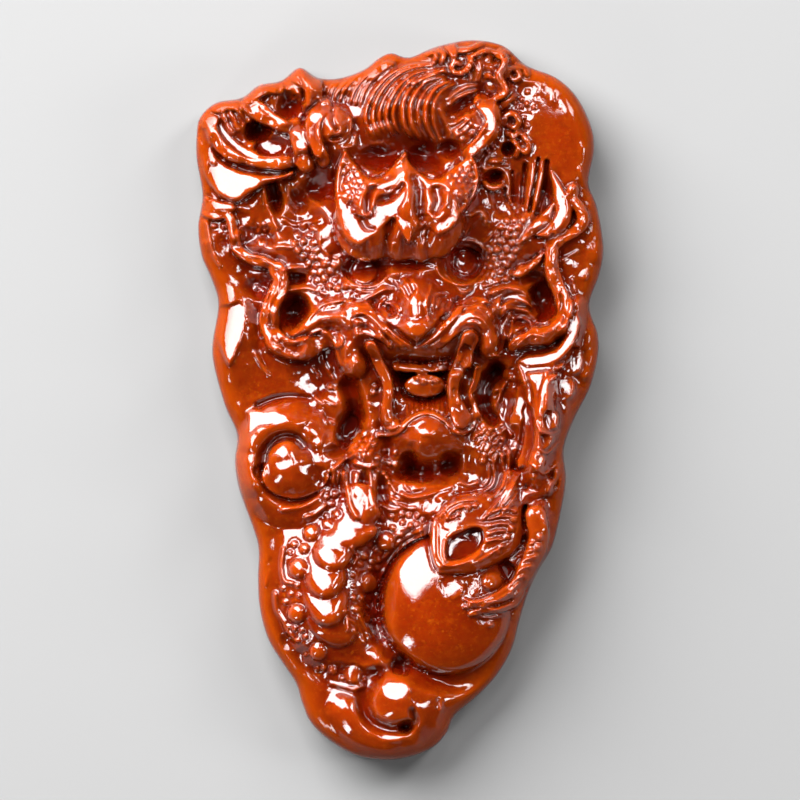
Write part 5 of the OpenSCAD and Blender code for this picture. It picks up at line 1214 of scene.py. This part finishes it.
def tooth_lines(table):
    """Short upright ridges for a row of teeth, on a bowed gum."""
    lines = []
    for first, last, count, foot, tip in table:
        for share in np.linspace(0, 1, count):
            x = first + (last - first) * share
            drop = TOOTH_BOW * (2 * share - 1) ** 2
            lines.append([*TOOTH, [(x, y - drop) for y in (foot, (foot + tip) / 2, tip)]])
    return lines


def carve():
    """Heights of the stone's front: the block, then its forms from the largest to the finest."""
    work = Carving(GROUND)
    work.swell(SWELLS)
    work.swell(HEAD_MASSES, power=1.7)
    work.swell(BODY_MASSES, power=1.7)
    work.limb(BODY_MEMBERS)
    work.limb(MUZZLE)
    work.facets(3.2, 0.17, seed=5)
    work.facets(1.7, 0.14, seed=8)
    work.globe(PEARLS)
    work.block_out()
    work.bowl(VALLEYS, power=1.6)
    work.bowl(HEAD_HOLLOWS, power=1.4)
    work.bowl(BODY_HOLLOWS, power=1.4)
    work.line(GROOVES, sign=-1)
    work.tube(HORNS, taper=0.5)
    work.ball(HORN_BULBS, power=0.9)
    work.tube(WHISKERS)
    work.tube(CURLS, taper=0.5)
    work.plate(CLOUD_PLATES)
    work.plate(LEAVES, moat=0.2)
    work.plate(BROW + BROW_APRON)
    work.ball(BROW_LOBES, ride=True, power=0.8)
    work.plate(BELLY_PLATES, ease=0.12, moat=0.12)
    work.ball(SWIRL_BALLS, power=1)
    work.ball(EYEBALLS, ride=True)
    work.ball(NOSE_BALLS, ride=True, power=1.2)
    work.ball(TONGUE)
    work.tube(LIP_EDGE, waver=0)
    work.tube(JAWS, waver=0, ease=0.8, moat=0.1)
    work.base = blur(work.base, 1)
    work.plate(HAND, ease=0.4)
    work.tube(CLAW, waver=0.02, ease=0.8, moat=0.1)
    work.ball(CLAW_BALLS)
    work.tilt(HAND_OPENING, edge=0.5, hold=0.96)
    work.tilt(HEAD_FLATS + BODY_FLATS)
    work.bevel(HEAD_RIBBONS + BODY_RIBBONS)
    work.strands(MANE + LIP_STRANDS)
    work.tilt(LIP_FLATS, edge=0.3)
    work.line(HORN_LINES + CREST_LINES + FOLDS + BROW_FOLDS + LIP_RIDGES + WHISKER_LINES + RIM_FOLDS)
    work.line(EYES + NOSE_LINES + JAW_LINES + COIL_RIDGES + CLAW_RIBS + ARM + tooth_lines(TOOTH_ROWS))
    work.line(HORN_GROOVES + BROW_CUTS + NOSE_CUTS, sign=-1)
    work.rings(EYE_RINGS)
    work.beads(CURL_BEADS + COIL_BEADS + CLAW_BEADS + WHISKER_BEADS + FACE_BEADS + THROAT_BEADS + TEETH)
    for beads in scale_beads(SCALES):
        work.beads(beads, moat=0.12)
    return np.minimum(blur(work.z, 0.09), TOP_HEIGHT)


def rim_depth(reach=FAR):
    """How far each sample lies inside the outline, less than 0 outside it."""
    path = smooth_curve(OUTLINE, step=0.8, closed=True)
    depth = np.full((len(sheet_y), len(sheet_x)), reach)
    part, away, _ = trace(path, reach)
    depth[part] = away
    return np.where(inside(path[:-1, :2], sheet_x[None, :], sheet_y[:, None]), depth, -depth)


def stone_field(top, rim):
    """Field over a block of samples, below 0 inside the stone."""
    levels = np.arange(LEVELS[0], LEVELS[1], CELL)
    field = np.empty((len(sheet_x), len(sheet_y), len(levels)), np.float32)
    tall = (top - EDGE_HEIGHT).T.astype(np.float32)
    deep = rim.T.astype(np.float32)
    roll = np.clip(1 - deep / EDGE_ROLL, 0, None) ** EDGE_POWER
    hole_x = (sheet_x[:, None] - HOLE_X) * np.ones((1, len(sheet_y)))
    hole_y = (sheet_y[None, :] - HOLE_Y) * np.ones((len(sheet_x), 1))
    for k, level in enumerate(levels):
        if level > EDGE_HEIGHT:
            rise = (level - EDGE_HEIGHT) / tall
            shell = ((roll + rise ** EDGE_POWER) ** (1 / EDGE_POWER) - 1) * tall
        else:
            turn = min(1.0, max(0.0, 1 - level / BACK_ROUNDING))
            inset = BACK_INSET * (1 - math.sqrt(1 - turn * turn))
            shell = np.maximum(inset - deep, -level)
        over = hole_y * HOLE_WAY[1] - level * HOLE_WAY[0]
        bore = HOLE_RADIUS - np.sqrt(hole_x * hole_x + over * over)
        field[:, :, k] = np.maximum(shell, bore)
    return levels, field


def field_surface(levels, field):
    """Corners in metres, triangles and quads of the surface where the field is 0."""
    grid = openvdb.FloatGrid(background=FIELD_LIMIT)
    grid.copyFromArray(np.clip(field, -FIELD_LIMIT, FIELD_LIMIT).astype(np.float32))
    corners, triangles, quads = grid.convertToPolygons(isovalue=0.0, adaptivity=0.0)
    corners = corners.astype(float) * CELL + np.array([sheet_x[0], sheet_y[0], levels[0]])
    places = corners * np.array([ACROSS, UNIT, UNIT]) - np.array([0, SHEET_MIDDLE * UNIT, 0])
    return np.clip(places, *CAD_BOX), triangles[:, ::-1], quads[:, ::-1]


def read_corners(mesh, kind):
    """A value of each corner of a mesh, as rows of three."""
    values = np.empty(len(mesh.vertices) * 3, np.float32)
    mesh.vertices.foreach_get(kind, values)
    return values.reshape(-1, 3)


def draft_mesh(places, triangles, quads):
    """The full surface as a mesh."""
    mesh = bpy.data.meshes.new("stone_draft")
    mesh.vertices.add(len(places))
    mesh.vertices.foreach_set("co", places.astype(np.float32).ravel())
    corners = np.concatenate([quads.ravel(), triangles.ravel()]).astype(np.int32)
    sizes = np.concatenate([np.full(len(quads), 4), np.full(len(triangles), 3)]).astype(np.int32)
    mesh.loops.add(len(corners))
    mesh.loops.foreach_set("vertex_index", corners)
    mesh.polygons.add(len(sizes))
    mesh.polygons.foreach_set("loop_start", (np.cumsum(sizes) - sizes).astype(np.int32))
    mesh.polygons.foreach_set("loop_total", sizes)
    mesh.update(calc_edges=True)
    return mesh


def build_stone(top, rim):
    """The stone as one closed object, with its faces collapsed to a fair number."""
    places, triangles, quads = field_surface(*stone_field(top, rim))
    draft = draft_mesh(places, triangles, quads)
    stone = bpy.data.objects.new("jade_stone", draft)
    bpy.context.scene.collection.objects.link(stone)
    tool = stone.modifiers.new("Collapse", "DECIMATE")
    tool.ratio = min(1.0, TRIANGLES / (2 * len(quads) + len(triangles)))
    tool.use_collapse_triangulate = True
    mesh = bpy.data.meshes.new_from_object(stone.evaluated_get(bpy.context.evaluated_depsgraph_get()))
    stone.modifiers.clear()
    stone.data = mesh
    bpy.data.meshes.remove(draft)
    mesh.name = "jade_stone"
    places = np.clip(read_corners(mesh, "co"), *CAD_BOX)
    mesh.vertices.foreach_set("co", places.astype(np.float32).ravel())
    mesh.update()
    return stone


def sampled(sheet, x, y):
    """Values of a sheet at points, between its samples."""
    i = np.clip((x - sheet_x[0]) / CELL, 0, len(sheet_x) - 1.001)
    j = np.clip((y - sheet_y[0]) / CELL, 0, len(sheet_y) - 1.001)
    i0, j0 = i.astype(int), j.astype(int)
    u, v = i - i0, j - j0
    low = sheet[j0, i0] * (1 - u) + sheet[j0, i0 + 1] * u
    high = sheet[j0 + 1, i0] * (1 - u) + sheet[j0 + 1, i0 + 1] * u
    return low * (1 - v) + high * v


def front_surface(top, rim):
    """Height of the finished front over the sheet, with its rolled edge."""
    fall = np.clip(1 - rim / EDGE_ROLL, 0, 1)
    return EDGE_HEIGHT + (top - EDGE_HEIGHT) * (1 - fall ** EDGE_POWER) ** (1 / EDGE_POWER)


def finish_surface(mesh, top, rim):
    """Smooth shading with normals of the full sheet, and the depths that colour it with painted shade in
    hollows and painted light on raised parts and the thin rim.
    """
    mesh.polygons.foreach_set("use_smooth", np.ones(len(mesh.polygons), bool))
    places, own = read_corners(mesh, "co"), read_corners(mesh, "normal")
    x, y, z = places[:, 0] / ACROSS, places[:, 1] / UNIT + SHEET_MIDDLE, places[:, 2] / UNIT
    surface = front_surface(top, rim)
    slope_y, slope_x = np.gradient(surface, CELL)
    carved = np.column_stack([-sampled(slope_x, x, y), -sampled(slope_y, x, y), np.ones(len(x))])
    carved /= np.linalg.norm(carved, axis=1)[:, None]
    depth = sampled(rim, x, y)
    front = np.clip((depth - NORMALS_FROM) / NORMALS_OVER, 0, 1)
    front = front * (z > EDGE_HEIGHT) * (own[:, 2] > NORMALS_UP)
    front = (front * (np.abs(z - sampled(surface, x, y)) <= NORMALS_OFF))[:, None]
    normals = carved * front + own * (1 - front)
    normals /= np.linalg.norm(normals, axis=1)[:, None]
    mesh.normals_split_custom_set_from_vertices(normals.tolist())
    # How near the rim each corner lies, for the painted orange glow of the thin rim and for the rolled edge
    thin = np.clip(1 - depth / THIN_EDGE, 0, 1)
    rolled = thin * np.clip((z - EDGE_HEIGHT + ROLLED_BELOW) / ROLLED_OVER, 0, 1)
    notes = {"thin": thin, "rolled": rolled}
    # pit and crease mark hollows for painted shade; ridge and crest mark raised parts for painted light
    for name, radius, sign, full in HEIGHT_NOTES:
        notes[name] = sampled(np.clip(sign * (surface - blur(surface, radius)) / full, 0, 1), x, y)
    for name, values in notes.items():
        layer = mesh.attributes.new(name, "FLOAT", "POINT")
        layer.data.foreach_set("value", values.astype(np.float32))


class Shader:
    """Adds nodes to a material in a few words."""

    def __init__(self, name, **values):
        self.material = bpy.data.materials.new(name)
        self.material.use_nodes = True
        self.tree = self.material.node_tree
        self.body = self.tree.nodes["Principled BSDF"]
        for socket, value in values.items():
            self.body.inputs[socket.replace("_", " ")].default_value = value

    def node(self, kind, **values):
        made = self.tree.nodes.new(kind)
        for name, value in values.items():
            if hasattr(made, name):
                setattr(made, name, value)
            else:
                made.inputs[name.replace("_", " ")].default_value = value
        return made

    def join(self, source, target):
        self.tree.links.new(source, target)

    def note(self, name):
        return self.node("ShaderNodeAttribute", attribute_name=name).outputs["Fac"]

    def noise(self, scale, detail, rough, shift=0.0):
        made = self.node("ShaderNodeTexNoise", Scale=scale, Detail=detail, Roughness=rough)
        move = self.node("ShaderNodeMapping", Location=(shift, shift * 0.7, shift * 0.3))
        self.join(self.node("ShaderNodeTexCoord").outputs["Object"], move.inputs["Vector"])
        self.join(move.outputs["Vector"], made.inputs["Vector"])
        return made.outputs["Fac"]

    def spread(self, source, low, high, to_low=0.0, to_high=1.0):
        made = self.node("ShaderNodeMapRange", interpolation_type="SMOOTHSTEP", From_Min=low, From_Max=high,
                         To_Min=to_low, To_Max=to_high)
        self.join(source, made.inputs["Value"])
        return made.outputs["Result"]

    def times(self, source, strength):
        made = self.node("ShaderNodeMath", operation="MULTIPLY")
        self.join(source, made.inputs[0])
        made.inputs[1].default_value = strength
        return made.outputs[0]

    def blend(self, share, first, second):
        """Mix two colours; the first may be a colour or an earlier blend."""
        made = self.node("ShaderNodeMix", data_type="RGBA")
        factor, start, end = made.inputs[0], made.inputs[6], made.inputs[7]
        self.join(share, factor)
        if isinstance(first, bpy.types.NodeSocket):
            self.join(first, start)
        else:
            start.default_value = (*first, 1)
        end.default_value = (*second, 1)
        return made.outputs[2]


def jade():
    """Translucent red-orange jade, with painted shade darkening its hollows, painted light on its raised
    parts and a painted orange glow where it is thin.
    """
    s = Shader("red_jade", **JADE_BODY)
    body = JADE_RED
    for name, strength, colour in JADE_LAYERS:
        if name in JADE_NOISES:
            scale, detail, rough, shift, low, high = JADE_NOISES[name]
            share = s.spread(s.noise(scale, detail, rough, shift), low, high)
        else:
            share = s.note(name)
        body = s.blend(s.times(share, strength), body, colour)
    s.join(body, s.body.inputs["Base Color"])
    s.join(s.spread(s.note("rolled"), *JADE_GLEAM), s.body.inputs["Specular IOR Level"])
    bump = s.node("ShaderNodeBump", Strength=0.3, Distance=0.00006)
    s.join(s.noise(*POLISH_NOISE), bump.inputs["Height"])
    s.join(bump.outputs["Normal"], s.body.inputs["Normal"])
    s.body.subsurface_method = "RANDOM_WALK"
    return s.material


def build_floor(size=0.6, gap=0.00002):
    """A plain pale floor just under the stone."""
    mesh = bpy.data.meshes.new("floor")
    corners = [(x * size, y * size, 0) for x, y in ((-1, -1), (1, -1), (1, 1), (-1, 1))]
    mesh.from_pydata(corners, [], [(0, 1, 2, 3)])
    mesh.materials.append(Shader("floor_white", **FLOOR_BODY).material)
    floor = bpy.data.objects.new("floor", mesh)
    floor.location.z = cad_low.z - gap
    bpy.context.scene.collection.objects.link(floor)


def light_scene():
    """Square studio lamps aimed at the stone, and a dim white world."""
    scene = bpy.context.scene
    for name, turn, tilt, distance, width, height, power in LAMPS:
        turn, tilt = math.radians(turn), math.radians(tilt)
        way = Vector((math.sin(tilt) * math.cos(turn), math.sin(tilt) * math.sin(turn), math.cos(tilt)))
        lamp = bpy.data.lights.new(name, "AREA")
        lamp.shape = "RECTANGLE"
        lamp.size, lamp.size_y = width, height
        lamp.energy = power
        holder = bpy.data.objects.new(name, lamp)
        holder.location = way * distance
        holder.rotation_euler = way.to_track_quat("Z", "Y").to_euler()
        scene.collection.objects.link(holder)
    scene.world = bpy.data.worlds.new("studio")
    scene.world.use_nodes = True
    sky = scene.world.node_tree.nodes["Background"]
    sky.inputs["Color"].default_value = (1, 1, 1, 1)
    sky.inputs["Strength"].default_value = SKY_STRENGTH
    scene.view_settings.view_transform = "Standard"
    scene.view_settings.look = "None"


def place_camera(focal=800, sensor=36, aside=0.00002):
    """A long lens straight over the face, as in the photo."""
    lens = bpy.data.cameras.new("camera")
    lens.lens = focal
    lens.sensor_width = sensor
    lens.sensor_fit = "HORIZONTAL"
    lens.clip_end = 10
    camera = bpy.data.objects.new("camera", lens)
    camera.location = (aside, 0.0, FRAME_WIDTH * focal / sensor)
    bpy.context.scene.collection.objects.link(camera)
    bpy.context.scene.camera = camera


top, rim = carve(), rim_depth()
stone = build_stone(top, rim)
finish_surface(stone.data, top, rim)
stone.data.materials.append(jade())
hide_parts("carved_stone")
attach(stone, "root")
build_floor()
light_scene()
place_camera()
